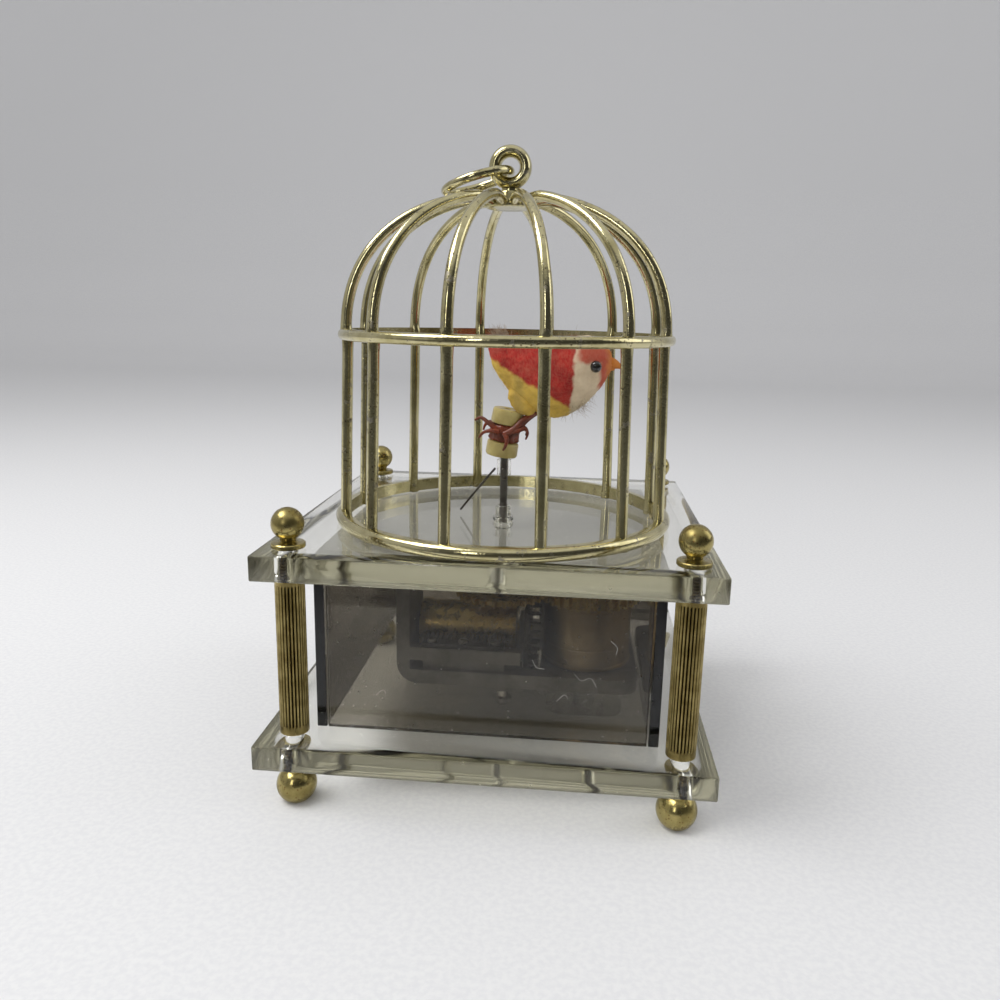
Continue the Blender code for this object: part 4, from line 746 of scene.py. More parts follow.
def makeHoops(look):
    # hoops of half-round section: a bevelled plane spun about the cage's axis
    for place, hoop in hoops.items():
        outerEdge = cageAt[0] + hoop["outer"]
        middle = (outerEdge - hoop["width"] / 2, cageAt[1], hoop["low"] + hoop["height"] / 2)
        section = fresh(bpy.ops.mesh.primitive_plane_add, size=1, rotation=(math.radians(90), 0, 0),
                        location=middle)
        section.scale = (hoop["width"], hoop["height"], 1)
        bpy.ops.object.transform_apply()
        editWhere(section, "vertices", lambda corner: abs(corner.co.x - outerEdge) < 0.01 * mm)
        bpy.ops.mesh.select_mode(type="VERT")
        bpy.ops.mesh.bevel(offset=hoop["height"] * 0.47, segments=6, affect="VERTICES")
        bpy.ops.mesh.select_all(action="SELECT")
        bpy.ops.mesh.spin(steps=cage["sides"], angle=2 * math.pi, center=(*cageAt, 0), axis=(0, 0, 1))
        closeUp()
        editAll()
        bpy.ops.mesh.delete_loose()
        bpy.ops.object.mode_set(mode="OBJECT")
        name = f"cage_{place}_hoop"
        finished(section, name + "_round", look, "base", [name], 40)
    print("hoops done")


def barPath(angle):
    # up from the plate, leaning in a little, then over the dome and down into the crown
    inset = 0.6 * mm + gap + cage["barRadius"]
    low, middle = hoops["base"]["outer"] - inset, hoops["middle"]["outer"] - inset
    lowZ, middleZ, dipRadius = levels["deck"] + gap, cage["middleZ"], cage["dipRadius"]
    power = 2 / cage["fullness"]
    wide = middle + cage["bulge"]
    last = math.acos((dipRadius / wide) ** (1 / power))
    upSteps, domeSteps, dipSteps = cage["steps"]
    route, thick = [], []
    for step in range(upSteps + 1):
        share = step / upSteps
        route.append((low + (middle - low) * share, lowZ + (middleZ - lowZ) * share))
        thick.append(1 + 0.22 * max(0, 1 - step) + 0.14 * max(0, 1 - upSteps + step))
    for step in range(1, domeSteps + 1):
        turn = last * (step / domeSteps) ** 1.2
        route.append((wide * math.cos(turn) ** power, middleZ + cage["domeRise"] * math.sin(turn) ** power))
        thick.append(1 + 0.14 * max(0, 1 - step / 2) - 0.08 * step / domeSteps)
    top, reach = route[-1][1], cage["crownRadius"] - 0.6 * mm
    for step in range(1, dipSteps + 1):
        share = step / dipSteps
        route.append((dipRadius + (reach - dipRadius) * share, top - cage["dip"] * share ** 2))
        thick.append(0.92 - 0.04 * share)
    across = Vector((math.cos(angle), math.sin(angle), 0))
    return [Vector((*cageAt, z)) + across * r for r, z in route], thick


def makeBars(look):
    for number in range(cage["bars"]):
        points, thick = barPath(cage["offset"] + 2 * math.pi * number / cage["bars"])
        name = f"cage_bar_{number + 1:02d}"
        finished(rodThrough(points, cage["barRadius"], 4, thick), name + "_wire", look, "base", [name], 50)
    print("bars done")


eye = {"outer": 4.4 * mm, "hole": 1.9 * mm, "centreZ": 126.94 * mm, "stem": 1.4 * mm, "halfDepth": 2.0 * mm}


def makeCrown(look):
    # the cap that the bars meet in, its two-step hub and the eye on it
    low, radius, stem = cage["crownZ"], cage["crownRadius"], eye["stem"]
    neck = eye["centreZ"] - eye["outer"]
    capRings = [(radius * 0.86, 0), (radius * 0.97, 0.1), (radius, 0.3), (radius, 0.7),
                (radius * 0.96, 0.9), (3.0 * mm, 1.25), (2.5 * mm, 1.5), (2.3 * mm, 1.8)]
    hubRings = [(2.3 * mm, -0.55), (2.15 * mm, -0.35), (1.75 * mm, -0.3), (1.7 * mm, 0.2), (stem, 0.4)]
    cap = turnUp([*((r, low + z * mm) for r, z in capRings), *((r, neck + z * mm) for r, z in hubRings),
                  (stem * 0.86, eye["centreZ"] - (eye["outer"] + eye["hole"]) / 2)], 72, cageAt)
    tube = (eye["outer"] - eye["hole"]) / 2
    loop = fresh(bpy.ops.mesh.primitive_torus_add, major_radius=eye["hole"] + tube, minor_radius=tube,
                 major_segments=64, minor_segments=28, location=(*cageAt, eye["centreZ"]),
                 rotation=(math.radians(90), 0, 0))
    loop.scale = (1, 1, eye["halfDepth"] / tube)
    bpy.ops.object.transform_apply()
    for piece in (cap, loop):
        pick(piece)
        closeUp()
    finished(cut(cap, [loop], "UNION"), "cage_crown_cap", look, "base", ["cage_crown"], 42)
    print("crown and eye done")


ring = {"outer": 7.85 * mm, "wire": 0.9 * mm, "droop": math.radians(17), "dentAt": math.radians(140),
        "dentHalf": math.radians(1.6)}


def makeHangingRing(look):
    middle, droop = ring["outer"] - ring["wire"], ring["droop"]
    hoop = fresh(bpy.ops.mesh.primitive_torus_add, major_radius=middle, minor_radius=ring["wire"],
                 major_segments=96, minor_segments=16)
    for corner in hoop.data.vertices:
        flat = corner.co.xy
        if abs(math.atan2(flat.y, flat.x) - ring["dentAt"]) < ring["dentHalf"]:
            corner.co.z *= 0.88
            corner.co.xy = flat.normalized() * (middle + (flat.length - middle) * 0.86)
    pivotZ = eye["centreZ"] - eye["hole"] + gap + ring["wire"]
    centre = (cageAt[0] - middle * math.cos(droop), cageAt[1], pivotZ - middle * math.sin(droop))
    hoop.matrix_world = Matrix.Translation(centre) @ Matrix.Rotation(-droop, 4, "Y")
    finished(hoop, "hanging_ring_wire", look, "ring", ["hanging_ring"], 60)
    print("hanging ring done")


# Spindle, bush, sleeve and trigger wire

spindle = {"bore": 1.15 * mm, "bush": 1.65 * mm, "flange": 2.3 * mm, "rod": 0.85 * mm, "sleeve": 1.55 * mm,
           "under": 1.2 * mm, "over": 3.5 * mm, "trigger": 0.25 * mm}


def makeSpindle(clear, dark):
    hole, bush, flange, rod, sleeve = (spindle[key] for key in ("bore", "bush", "flange", "rod", "sleeve"))
    deck, low = levels["deck"] + gap, levels["topPlate"] - spindle["under"]
    top = levels["deck"] + spindle["over"]
    soft, fine = 0.1 * mm, 0.05 * mm
    rings = [(hole, low), (bush - soft, low), (bush, low + soft), (bush, deck), (flange - soft, deck),
             (flange, deck + soft), (flange, deck + 0.7 * mm), (flange - soft, deck + 0.8 * mm),
             (bush + soft, deck + 0.85 * mm), (bush, deck + 1.0 * mm), (bush, top - 0.12 * mm),
             (bush - 0.12 * mm, top), (hole, top), (hole, low)]
    piece = turnUp(rings, 48, spindleAt, hollow=True)
    finished(piece, "spindle_bush_clear", clear, "base", ["spindle_bush"], 40)
    low, high = (corner.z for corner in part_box("spindle_rod"))
    worn, end = rod - 0.07 * mm, rod - 0.15 * mm
    rings = [(end, low), (rod, low + 0.15 * mm), (rod, top + 0.4 * mm), (worn, top + 0.55 * mm),
             (worn, top + 1.1 * mm), (rod, top + 1.25 * mm), (rod, high - soft), (end, high)]
    finished(turnUp(rings, 32, spindleAt), "spindle_rod_turned", dark, "bird", ["spindle_rod"], 40)
    low, high = (corner.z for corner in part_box("clear_sleeve"))
    rings = [(hole, low), (sleeve - fine, low), (sleeve, low + fine), (sleeve, high - fine),
             (sleeve - fine, high), (hole, high), (hole, low)]
    piece = turnUp(rings, 40, spindleAt, hollow=True)
    finished(piece, "clear_sleeve_tube", clear, "bird", ["clear_sleeve"], 40)
    print("spindle done")


def makeTriggerWire(dark):
    low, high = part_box("steel_wire")
    start = Vector((high.x, low.y, high.z)) + Vector((-0.2, 0.2, -0.2)) * mm
    end = Vector((low.x, high.y, low.z)) + Vector((0.2, -0.2, 0.25)) * mm
    bend = start.lerp(end, 0.4) + Vector((0.0, 0.0, 0.12)) * mm
    wire = rodThrough(smoothLine([start, bend, end], 8), spindle["trigger"], 3)
    finished(wire, "steel_wire_bent", dark, "bird", ["steel_wire"], 50)
    print("trigger wire done")


# Perch spool

spool = {"radius": 3.4 * mm, "waist": 2.1 * mm, "disc": 3.3 * mm, "waistHeight": 3.8 * mm,
         "lean": math.radians(9), "shift": -0.8 * mm, "low": 67.6 * mm, "eyelet": 0.9 * mm,
         "soft": 0.45 * mm}
spoolPlace = (Matrix.Translation((spindleAt[0] + spool["shift"], spindleAt[1], spool["low"]))
              @ Matrix.Rotation(spool["lean"], 4, "Y"))


def perchPlastic():
    # pale yellow translucent plastic, cloudy inside
    look, shader, place = newLook("perchPlastic", "perch_plastic", Roughness=0.32, Subsurface_Weight=0.35,
                                  Subsurface_Scale=0.0012, Subsurface_Radius=(1.0, 0.8, 0.4))
    base = blend(blotches(place, 280.0, 0.36, 0.7), (0.50, 0.42, 0.16), (0.36, 0.27, 0.09))
    feed(shader, Base_Color=blend(specks(place, 1500.0, 0.2, 0.12), base, (0.40, 0.26, 0.12)))
    bump(shader, noise(place, 700.0), 0.2, 0.0001)
    return look


def makeSpool(look):
    radius, waist, disc, soft, eyelet = (spool[key] for key in ("radius", "waist", "disc", "soft", "eyelet"))
    top = 2 * disc + spool["waistHeight"]
    upper = top - disc
    rings = [(radius - 2 * soft, 0), (radius - soft * 0.4, soft * 0.4), (radius, soft * 1.2),
             (radius, disc - soft), (radius - soft * 0.3, disc - soft * 0.3), (radius - soft, disc),
             (waist + 0.2 * mm, disc + 0.05 * mm), (waist, disc + 0.25 * mm),
             (waist, upper - 0.25 * mm), (waist + 0.2 * mm, upper - 0.05 * mm),
             (radius - soft, upper), (radius - soft * 0.3, upper + soft * 0.3), (radius, upper + soft),
             (radius, top - soft), (radius - soft * 0.3, top - soft * 0.3), (radius - soft, top),
             (eyelet + 0.25 * mm, top), (eyelet + 0.1 * mm, top - 0.12 * mm), (eyelet, top - 0.4 * mm),
             (eyelet * 0.9, top - 2 * mm)]
    body = turnUp(rings, 56)
    for corner in body.data.vertices:
        turn = math.atan2(corner.co.y, corner.co.x)
        corner.co.xy *= 1 + 0.02 * math.sin(2 * turn + corner.co.z / mm) + 0.012 * math.sin(5 * turn)
    settle(body, spoolPlace)
    cut(body, [roundTool(*spindleAt, spindle["bore"], spool["low"] - 2 * mm, spool["low"] + 3.3 * mm)])
    finished(body, "perch_spool_moulded", look, "bird", ["perch_spool"], 40)
    print("perch spool done")


# Bird's feet: a moulded saddle on the perch's waist, two legs and curling claws, in millimetres

feet = {"leg": 0.75 * mm, "claw": 0.5 * mm,
        "legs": [[(0.6, -12.6, 72.7), (2.6, -12.7, 73.9), (4.4, -11.8, 75.7), (6.6, -10.6, 77.3)],
                 [(1.0, -8.0, 73.1), (3.4, -8.2, 74.1), (5.2, -8.6, 75.8), (7.2, -8.8, 77.3)]],
        "claws": [[(-1.0, -12.4, 73.5), (-2.9, -12.4, 75.1), (-4.5, -12.0, 76.1), (-5.9, -11.6, 75.5)],
                  [(-0.6, -12.7, 73.3), (-2.4, -12.9, 73.5), (-3.9, -12.7, 73.0), (-4.9, -12.3, 71.8)],
                  [(1.4, -12.7, 73.3), (3.2, -12.9, 73.6), (4.8, -12.5, 74.0), (5.5, -12.2, 73.1),
                   (5.1, -12.0, 71.7)],
                  [(0.6, -12.8, 72.9), (1.2, -13.5, 71.8), (0.9, -13.5, 70.3), (0.4, -13.3, 69.4)],
                  [(1.6, -7.2, 73.3), (3.8, -6.6, 73.8), (5.0, -6.6, 73.0), (4.8, -6.8, 71.8)],
                  [(-1.0, -7.0, 73.5), (-3.0, -6.2, 74.5), (-4.2, -6.2, 73.9), (-4.6, -6.4, 72.7)]]}


def redBrownPlastic():
    # thin moulded feet, glossy red-brown
    look, shader, place = newLook("redBrownPlastic", "red_brown_plastic")
    patches = blotches(place, 420.0, 0.36, 0.66)
    feed(shader, Base_Color=blend(patches, (0.22, 0.045, 0.02), (0.09, 0.025, 0.012)),
         Roughness=ramp(patches, 0.0, 1.0, 0.26, 0.5))
    bump(shader, noise(place, 1400.0), 0.35, 0.00012)
    return look


def legRod(points, radius, steps, root, thinner):
    line = smoothLine([Vector(point) * mm for point in points], steps)
    return rodThrough(line, radius, 3, [root - thinner * n / len(line) for n in range(len(line))])


def makeFeetAndClaws(look):
    low, high = spool["disc"] + 0.1 * mm, spool["disc"] + spool["waistHeight"] - 0.1 * mm
    inner = spool["waist"] + 0.08 * mm
    rings = [(inner, low), (inner + 0.7 * mm, low), (inner + 1.05 * mm, low + 0.5 * mm),
             (inner + 0.95 * mm, low + 1.3 * mm), (inner + 1.05 * mm, high - 0.5 * mm),
             (inner + 0.6 * mm, high), (inner, high), (inner, low)]
    saddle = turnUp(rings, 40, hollow=True)
    for corner in saddle.data.vertices:
        turn = math.atan2(corner.co.y, corner.co.x)
        if corner.co.xy.length > inner + 0.3 * mm:
            corner.co.xy *= 1 + 0.07 * math.sin(7 * turn + 2200 * corner.co.z) + 0.04 * math.sin(13 * turn)
    settle(saddle, spoolPlace)
    parts = [saddle, *(legRod(points, feet["leg"], 5, 1.1, 0.25) for points in feet["legs"]),
             *(legRod(points, feet["claw"], 6, 1.25, 0.9) for points in feet["claws"])]
    finished(joined(parts), "bird_feet_moulded", look, "bird", ["bird_feet"], 60)
    print("feet and claws done")


# Bird of wound cotton: one teardrop, tail to brow
# sections hold shares: along the length, then centre height, half height and half width

bird = {"tailEnd": -4.0 * mm, "length": 26.4 * mm, "height": 17.2 * mm, "width": 13.6 * mm, "z": 85.3 * mm,
        "sections": [(0.00, 0.326, 0.030, 0.040), (0.04, 0.227, 0.134, 0.147), (0.12, 0.142, 0.230, 0.250),
                     (0.22, 0.058, 0.337, 0.346), (0.33, 0.006, 0.413, 0.426), (0.45, -0.026, 0.468, 0.478),
                     (0.56, -0.032, 0.491, 0.500), (0.68, 0.006, 0.471, 0.493), (0.78, 0.064, 0.424, 0.456),
                     (0.87, 0.122, 0.343, 0.382), (0.94, 0.157, 0.238, 0.279), (0.985, 0.166, 0.128, 0.154),
                     (1.00, 0.163, 0.0, 0.0)],
        "lump": 1.6 * mm, "lumpHeight": 0.55 * mm, "fill": 0.9}


def birdStation(share):
    # centre height, half height and half width at a share of the length, softly between the sections
    rows = bird["sections"]
    last = len(rows) - 2
    index = max(n for n in range(last + 1) if share >= rows[n][0] or n == 0)
    near = [rows[min(max(n, 0), last + 1)] for n in range(index - 1, index + 3)]
    t = (share - near[1][0]) / (near[2][0] - near[1][0])
    found = []
    for a, b, c, d in zip(*(row[1:] for row in near)):
        found.append(min(max(between(a, b, c, d, t), min(b, c) - 0.02), max(b, c) + 0.02))
    return found[0] * bird["height"], found[1] * bird["height"], found[2] * bird["width"]


def birdPoint(share, angle, size=1.0):
    # a point of the bird's skin; angle 0 is its left side and 90 degrees its back
    rise, tall, wide = birdStation(share)
    return Vector((spindleAt[0] + bird["tailEnd"] + share * bird["length"],
                   spindleAt[1] + wide * size * math.cos(angle),
                   bird["z"] + rise + tall * size * math.sin(angle)))


def skinNormal(share, angle):
    around = birdPoint(share, angle + 0.02) - birdPoint(share, angle - 0.02)
    along = birdPoint(min(share + 0.01, 0.999), angle) - birdPoint(max(share - 0.01, 0.001), angle)
    normal = around.cross(along)
    out = Vector((0, math.cos(angle), math.sin(angle)))
    return birdPoint(share, angle), (normal if normal.dot(out) > 0 else -normal).normalized()


def inMm(place):
    # the place in millimetres with wavy borders, as separate X, Y and Z
    tree = place.id_data
    larger = addNode(tree, "VectorMath", {0: place, "Scale": 1000.0}, operation="SCALE").outputs[0]
    wobble = addNode(tree, "TexNoise", {"Vector": place, "Scale": 520.0, "Detail": 3.0}).outputs["Color"]
    shift = addNode(tree, "VectorMath", {0: wobble, 1: (0.5, 0.5, 0.5)}, operation="SUBTRACT").outputs[0]
    shift = addNode(tree, "VectorMath", {0: shift, "Scale": 1.8}, operation="SCALE").outputs[0]
    return apart(addNode(tree, "VectorMath", {0: larger, 1: shift}, operation="ADD").outputs[0])


def paintedCotton():
    # dyed cotton: red back and breast, yellow belly, cream face, red brow, orange beak; painted shade under
    # the face and in a band across the belly
    look, shader, place = newLook("paintedCotton", "red_flock", Roughness=0.95, Sheen_Weight=0.02,
                                  Sheen_Roughness=0.5)
    x, _, z = inMm(place)
    fibres = effect("fibres", place, Scale=1100.0, Stretch=5.0)
    patches = blotches(place, 330.0, 0.36, 0.68)
    aboveWing = ramp(maths("ADD", maths("MULTIPLY", x, 0.56), z), 86.5, 87.5)
    # stepped twice, for a crisper border
    behindCheek = ramp(maths("ADD", x, maths("MULTIPLY", z, -0.05)), 9.8, 11.0, 1.0, 0.0)
    face = ramp(behindCheek, 0.0, 1.0, 1.0, 0.0)
    yellow = blend(patches, (0.76, 0.52, 0.09), (0.52, 0.33, 0.05))
    # painted shade: a darker olive band across the yellow belly, from x 1.5 to 5.2 mm
    paintedBellyShade = maths("MULTIPLY", ramp(x, 1.5, 3.2), ramp(x, 3.6, 5.2, 1.0, 0.0))
    yellow = blend(maths("MULTIPLY", paintedBellyShade, 0.55), yellow, (0.34, 0.25, 0.07))
    red = blend(patches, (0.44, 0.022, 0.014), (0.25, 0.008, 0.007))
    faded = maths("MULTIPLY", blotches(place, 210.0, 0.48, 0.7), ramp(x, 4.0, 10.0, 0.75, 0.15))
    red = blend(faded, red, (0.50, 0.09, 0.05))
    cream = blend(patches, (0.78, 0.65, 0.46), (0.60, 0.47, 0.31))
    # painted shade: the cream darkens towards the bottom of the face
    cream = blend(ramp(z, 77.4, 81.9, 0.55, 0.0), cream, (0.42, 0.36, 0.22))
    base = blend(face, blend(aboveWing, yellow, red), cream)
    brow = maths("MULTIPLY", ramp(z, 87.8, 88.8), ramp(z, 91.1, 92.3, 1.0, 0.0))
    brow = maths("MAXIMUM", maths("MULTIPLY", brow, ramp(x, 14.6, 16.8)), ramp(x, 19.6, 20.6))
    base = blend(maths("MULTIPLY", brow, 0.92), base, (0.46, 0.045, 0.02))
    base = blend(maths("MULTIPLY", ramp(x, 20.8, 22.6), 0.9), base, (0.62, 0.22, 0.03))
    feed(shader, Base_Color=blend(maths("MULTIPLY", fibres["Mask"], 0.07), base, (0.80, 0.52, 0.34)))
    bump(shader, fibres["Height"], 0.7, 0.00035)
    return look


def makeBody(look):
    body = fresh(bpy.ops.mesh.primitive_uv_sphere_add, segments=96, ring_count=72, radius=1,
                 rotation=(0, math.radians(90), 0))
    bpy.ops.object.transform_apply()
    crowding = 0.94
    for corner in body.data.vertices:
        x, y, z = corner.co
        turn = math.asin(max(-1, min(1, x)))
        share = 0.5 + 0.5 * math.sin(turn * crowding) / math.sin(math.pi / 2 * crowding)
        share = min(max(share, 0.0), 1.0)
        angle = math.atan2(z, y)
        lump = 1 + 0.012 * math.sin(9 * share + 3 * angle) + 0.010 * math.sin(5 * angle + 17 * share)
        corner.co = birdPoint(share, angle, 0.0 if math.hypot(y, z) < 1e-5 else lump)
    cotton = bpy.data.textures.new("cotton", "CLOUDS")
    cotton.noise_scale = bird["lump"]
    cotton.noise_depth = 3
    modify(body, "SUBSURF", levels=1, render_levels=1)
    modify(body, "DISPLACE", texture=cotton, texture_coords="LOCAL", strength=bird["lumpHeight"],
           mid_level=0.6)
    closeUp()
    finished(body, "bird_cotton_body", look, "bird", ["bird_body", "bird_head"], 80)
    print("bird's body done")


thighs = {"place": (3.9 * mm, 79.9 * mm), "apart": 2.3 * mm, "size": (2.1 * mm, 1.7 * mm, 3.7 * mm),
          "lean": -0.75, "lumpHeight": 0.9 * mm}


def makeThighs(look):
    # two tufts of yellow cotton that reach down towards the legs
    x, z = thighs["place"]
    tufts = []
    for side in (-1, 1):
        tufts.append(fresh(bpy.ops.mesh.primitive_uv_sphere_add, segments=32, ring_count=20, radius=1,
                           location=(x, spindleAt[1] + side * thighs["apart"], z),
                           rotation=(0, thighs["lean"], 0)))
        tufts[-1].scale = thighs["size"]
    tuft = joined(tufts)
    bpy.ops.object.transform_apply()
    modify(tuft, "DISPLACE", texture=bpy.data.textures["cotton"], strength=thighs["lumpHeight"])
    finished(tuft, "bird_thighs", look, "bird", smooth=80)
    print("thigh tufts done")


# Loose fibres of the bird

def brownFibre():
    # loose undyed fibres
    look, shader, place = newLook("brownFibre", "brown_tuft", Roughness=0.8, Sheen_Weight=0.1)
    fibres = effect("fibres", place, Scale=1500.0, Stretch=6.0)
    base = blend(blotches(place, 600.0, 0.36, 0.64), (0.36, 0.26, 0.16), (0.20, 0.13, 0.08))
    feed(shader, Base_Color=blend(maths("MULTIPLY", fibres["Mask"], 0.3), base, (0.60, 0.50, 0.36)))
    bump(shader, fibres["Height"], 0.5, 0.0002)
    return look


def spread(*reach):
    return Vector([random.uniform(-part, part) for part in reach])


def strand(start, direction, length, curl, radius):
    # one fibre that curls: its points and its radius
    side = direction.orthogonal().normalized()
    shares = [step / 3 for step in range(4)]
    return [start + direction * length * share + side * curl * share * share for share in shares], radius


def makeFuzz(name, look, strands):
    # fibres as one mesh: each a short taper of three sides
    corners, faces = [], []
    turns = [2 * math.pi * step / 3 for step in range(3)]
    for points, radius in strands:
        first = len(corners)
        along = (points[-1] - points[0]).normalized()
        across = along.orthogonal().normalized()
        other = along.cross(across)
        for number, point in enumerate(points):
            reach = radius * (1 - 0.8 * number / (len(points) - 1))
            corners += [point + (across * math.cos(turn) + other * math.sin(turn)) * reach for turn in turns]
        for low in range(first, len(corners) - 3, 3):
            for step in range(3):
                after = (step + 1) % 3
                faces.append((low + step, low + after, low + 3 + after, low + 3 + step))
        faces.append((first + 2, first + 1, first))
        faces.append(range(len(corners) - 3, len(corners)))
    mesh = bpy.data.meshes.new(name)
    mesh.from_pydata(corners, [], faces)
    fuzz = bpy.data.objects.new(name, mesh)
    bpy.context.collection.objects.link(fuzz)
    finished(fuzz, name, look, "bird", smooth=80)


# each wisp group: share of the length, angle in degrees, count and reach in millimetres
down = {"count": 2600, "wispRadius": 0.034 * mm,
        "wisps": ((0.74, -95, 46, 3.6), (0.80, -80, 30, 2.8), (0.66, -88, 16, 1.8), (0.72, 92, 16, 2.5),
                  (0.62, 95, 10, 1.8), (0.10, 10, 16, 1.8))}


def makeDown(cotton, brown):
    # short down all over, loose brown wisps under the throat and on the crown
    random.seed(11)
    strands = []
    for _ in range(down["count"]):
        share, angle = random.uniform(0.03, 0.985), random.uniform(0, 2 * math.pi)
        here, normal = skinNormal(share, angle)
        lean = Vector((random.uniform(-1.4, 0.2), random.uniform(-0.7, 0.7), random.uniform(-0.7, 0.7)))
        length = random.uniform(0.35, 0.95) * mm
        strands.append(strand(here - normal * 0.15 * mm, (normal + lean * 0.8).normalized(), length,
                              random.uniform(-0.2, 0.2) * mm, random.uniform(0.012, 0.022) * mm))
    makeFuzz("bird_down", cotton, strands)
    wisps = []
    for share, angle, count, reach in down["wisps"]:
        for _ in range(count):
            spot = math.radians(angle + random.uniform(-38, 38))
            here, normal = skinNormal(min(0.98, max(0.02, share + random.uniform(-0.06, 0.06))), spot)
            direction = (normal + spread(0.7, 0.9, 0.3)).normalized()
            wisps.append(strand(here - normal * 0.1 * mm, direction, random.uniform(0.3, 1) * reach * mm,
                                random.uniform(-1.1, 1.1) * mm, down["wispRadius"]))
    makeFuzz("bird_wisps", brown, wisps)
    print("down and wisps done:", len(strands) + len(wisps), "fibres")


tail = {"lean": Vector((-0.54, 0, 0.84)), "core": 0.85 * mm, "fibres": 260}


def makeTail(brown):
    low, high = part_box("bird_tail")
    root = Vector((high.x - 0.6 * mm, (low.y + high.y) / 2, low.z + 0.1 * mm))
    lean = tail["lean"]
    core = rodThrough([root + lean * along * mm for along in (-0.8, 0, 1.4, 3.0)], tail["core"], 3,
                      [0.9, 1.0, 1.0, 0.3])
    random.seed(7)
    strands = []
    for _ in range(tail["fibres"]):
        start = root + Vector((random.gauss(0, 0.75), random.gauss(0, 0.7), random.gauss(0, 0.3))) * mm
        apartBy = Vector((random.gauss(0, 0.22), random.gauss(0, 0.3), random.gauss(0, 0.16)))
        direction = (lean + apartBy).normalized()
        strands.append(strand(start - direction * 0.4 * mm, direction, random.uniform(1.8, 4.3) * mm,
                              random.uniform(-0.7, 0.7) * mm, random.uniform(0.05, 0.09) * mm))
    makeFuzz("bird_tail_fibres", brown, strands)
    finished(core, "bird_tail_core", brown, "bird", ["bird_tail"], 60)
    print("tail done")


# Eyes and beak

eyes = {"radius": 1.22 * mm, "flat": 0.9, "shift": (-0.3, 0.12, 0.4)}


def blackBead():
    # eye bead of black glass, faintly smeared
    look, shader, place = newLook("blackBead", "black_glass", Base_Color=(0.008, 0.007, 0.007),
                                  Coat_Weight=1.0, Coat_Roughness=0.03)
    feed(shader, Roughness=ramp(blotches(place, 900.0, 0.45, 0.7), 0.0, 1.0, 0.04, 0.14))
    return look


def makeEyes(look):
    rings = ballRings(eyes["radius"], 0, math.radians(-84), math.radians(84), 24)
    for name, side in (("bird_eye_left", 1), ("bird_eye_right", -1)):
        low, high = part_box(name)
        x, y, z = eyes["shift"]
        bead = turnUp([(radius, height * eyes["flat"]) for radius, height in rings], 40)
        bead.matrix_world = (Matrix.Translation((low + high) / 2 + Vector((x, side * y, z)) * mm)
                             @ Matrix.Rotation(math.radians(-90 * side), 4, "X"))
        finished(bead, name + "_bead", look, "bird", [name], 60)
    print("eyes done")


# both bills in millimetres from the root
beak = {"radius": 1.55 * mm, "inside": 1.5 * mm, "share": 0.985,
        "upper": [(0, 0, 0), (1.3, 0, 0.05), (2.4, 0, -0.2), (3.2, 0, -0.65), (3.5, 0, -1.05)],
        "lower": [(0, 0, -0.7), (1.2, 0, -0.95), (2.4, 0, -1.2)]}


def makeBeak(look):
    # a short hooked beak of stiffened cotton
    root = Vector((birdPoint(beak["share"], 0).x - beak["inside"], spindleAt[1],
                   bird["z"] + birdStation(beak["share"])[0] - 0.1 * mm))
    bills = []
    for bill, size, tip in (("upper", 1.0, 0.12), ("lower", 0.7, 0.15)):
        line = smoothLine([root + Vector(point) * mm for point in beak[bill]], 5)
        thickness = [1.0 + (tip - 1.0) * (n / (len(line) - 1)) ** 1.3 for n in range(len(line))]
        bills.append(rodThrough(line, beak["radius"] * size, 5, thickness))
    finished(joined(bills), "bird_beak", look, "bird", smooth=60)
    print("beak done")


# Lint on the smoked front, each fibre as (X, Z) places in millimetres

lint = {"front": -36.56 * mm, "radius": 0.035 * mm,
        "lines": [[(17.2, 29.9), (18.6, 28.5), (20.4, 29.1), (21.6, 27.3)],
                  [(14.0, 23.9), (15.4, 25.3), (16.2, 24.5)], [(9.0, 32.3), (9.8, 30.8), (11.4, 30.5)],
                  [(-22.0, 22.9), (-20.6, 24.1), (-20.0, 23.3)], [(24.0, 36.9), (25.2, 35.7), (25.0, 34.3)]]}


def lintLook():
    look, shader, place = newLook("lint", "cream_flock", Roughness=0.9)
    feed(shader, Base_Color=blend(blotches(place, 900.0, 0.4, 0.65), (0.80, 0.78, 0.74), (0.60, 0.58, 0.54)))
    return look


def makeLint(look):
    parts = []
    for points in lint["lines"]:
        line = smoothLine([Vector((x * mm, lint["front"], z * mm)) for x, z in points], 6)
        parts.append(rodThrough(line, lint["radius"], 1))
    finished(joined(parts), "smoked_front_lint", look, "base", smooth=60)
    print("lint done")


# Floor, lamps, world and camera

def paleClothPaintedReflection():
    # pale cloth with a painted dark reflection: in front of the box, glossy rays see it dark, as a dim room
    # beyond the sheet would mirror
    look, shader, place = newLook("paleClothPaintedReflection", None, Roughness=0.9)
    cloth = blend(ramp(noise(place, 900.0), 0.3, 0.7), (0.74, 0.74, 0.75), (0.79, 0.79, 0.79))
    glossy = addNode(place.id_data, "LightPath").outputs["Is Glossy Ray"]
    # painted reflection: the cloth is dark only for glossy rays, in front of the box
    paintedDarkReflection = maths("MULTIPLY", glossy, ramp(apart(place)[1], -0.09, -0.22))
    feed(shader, Base_Color=blend(paintedDarkReflection, cloth, (0.08, 0.08, 0.08)))
    return look


# the sheet's size, and its steps back and up into the backdrop
sheet = {"size": (3, 2.2, 1), "sink": 0.02 * mm, "backEdge": 1.0,
         "steps": ((0.12, 0.02), (0.09, 0.06), (0.05, 0.1), (0.02, 0.14), (0.0, 1.6))}


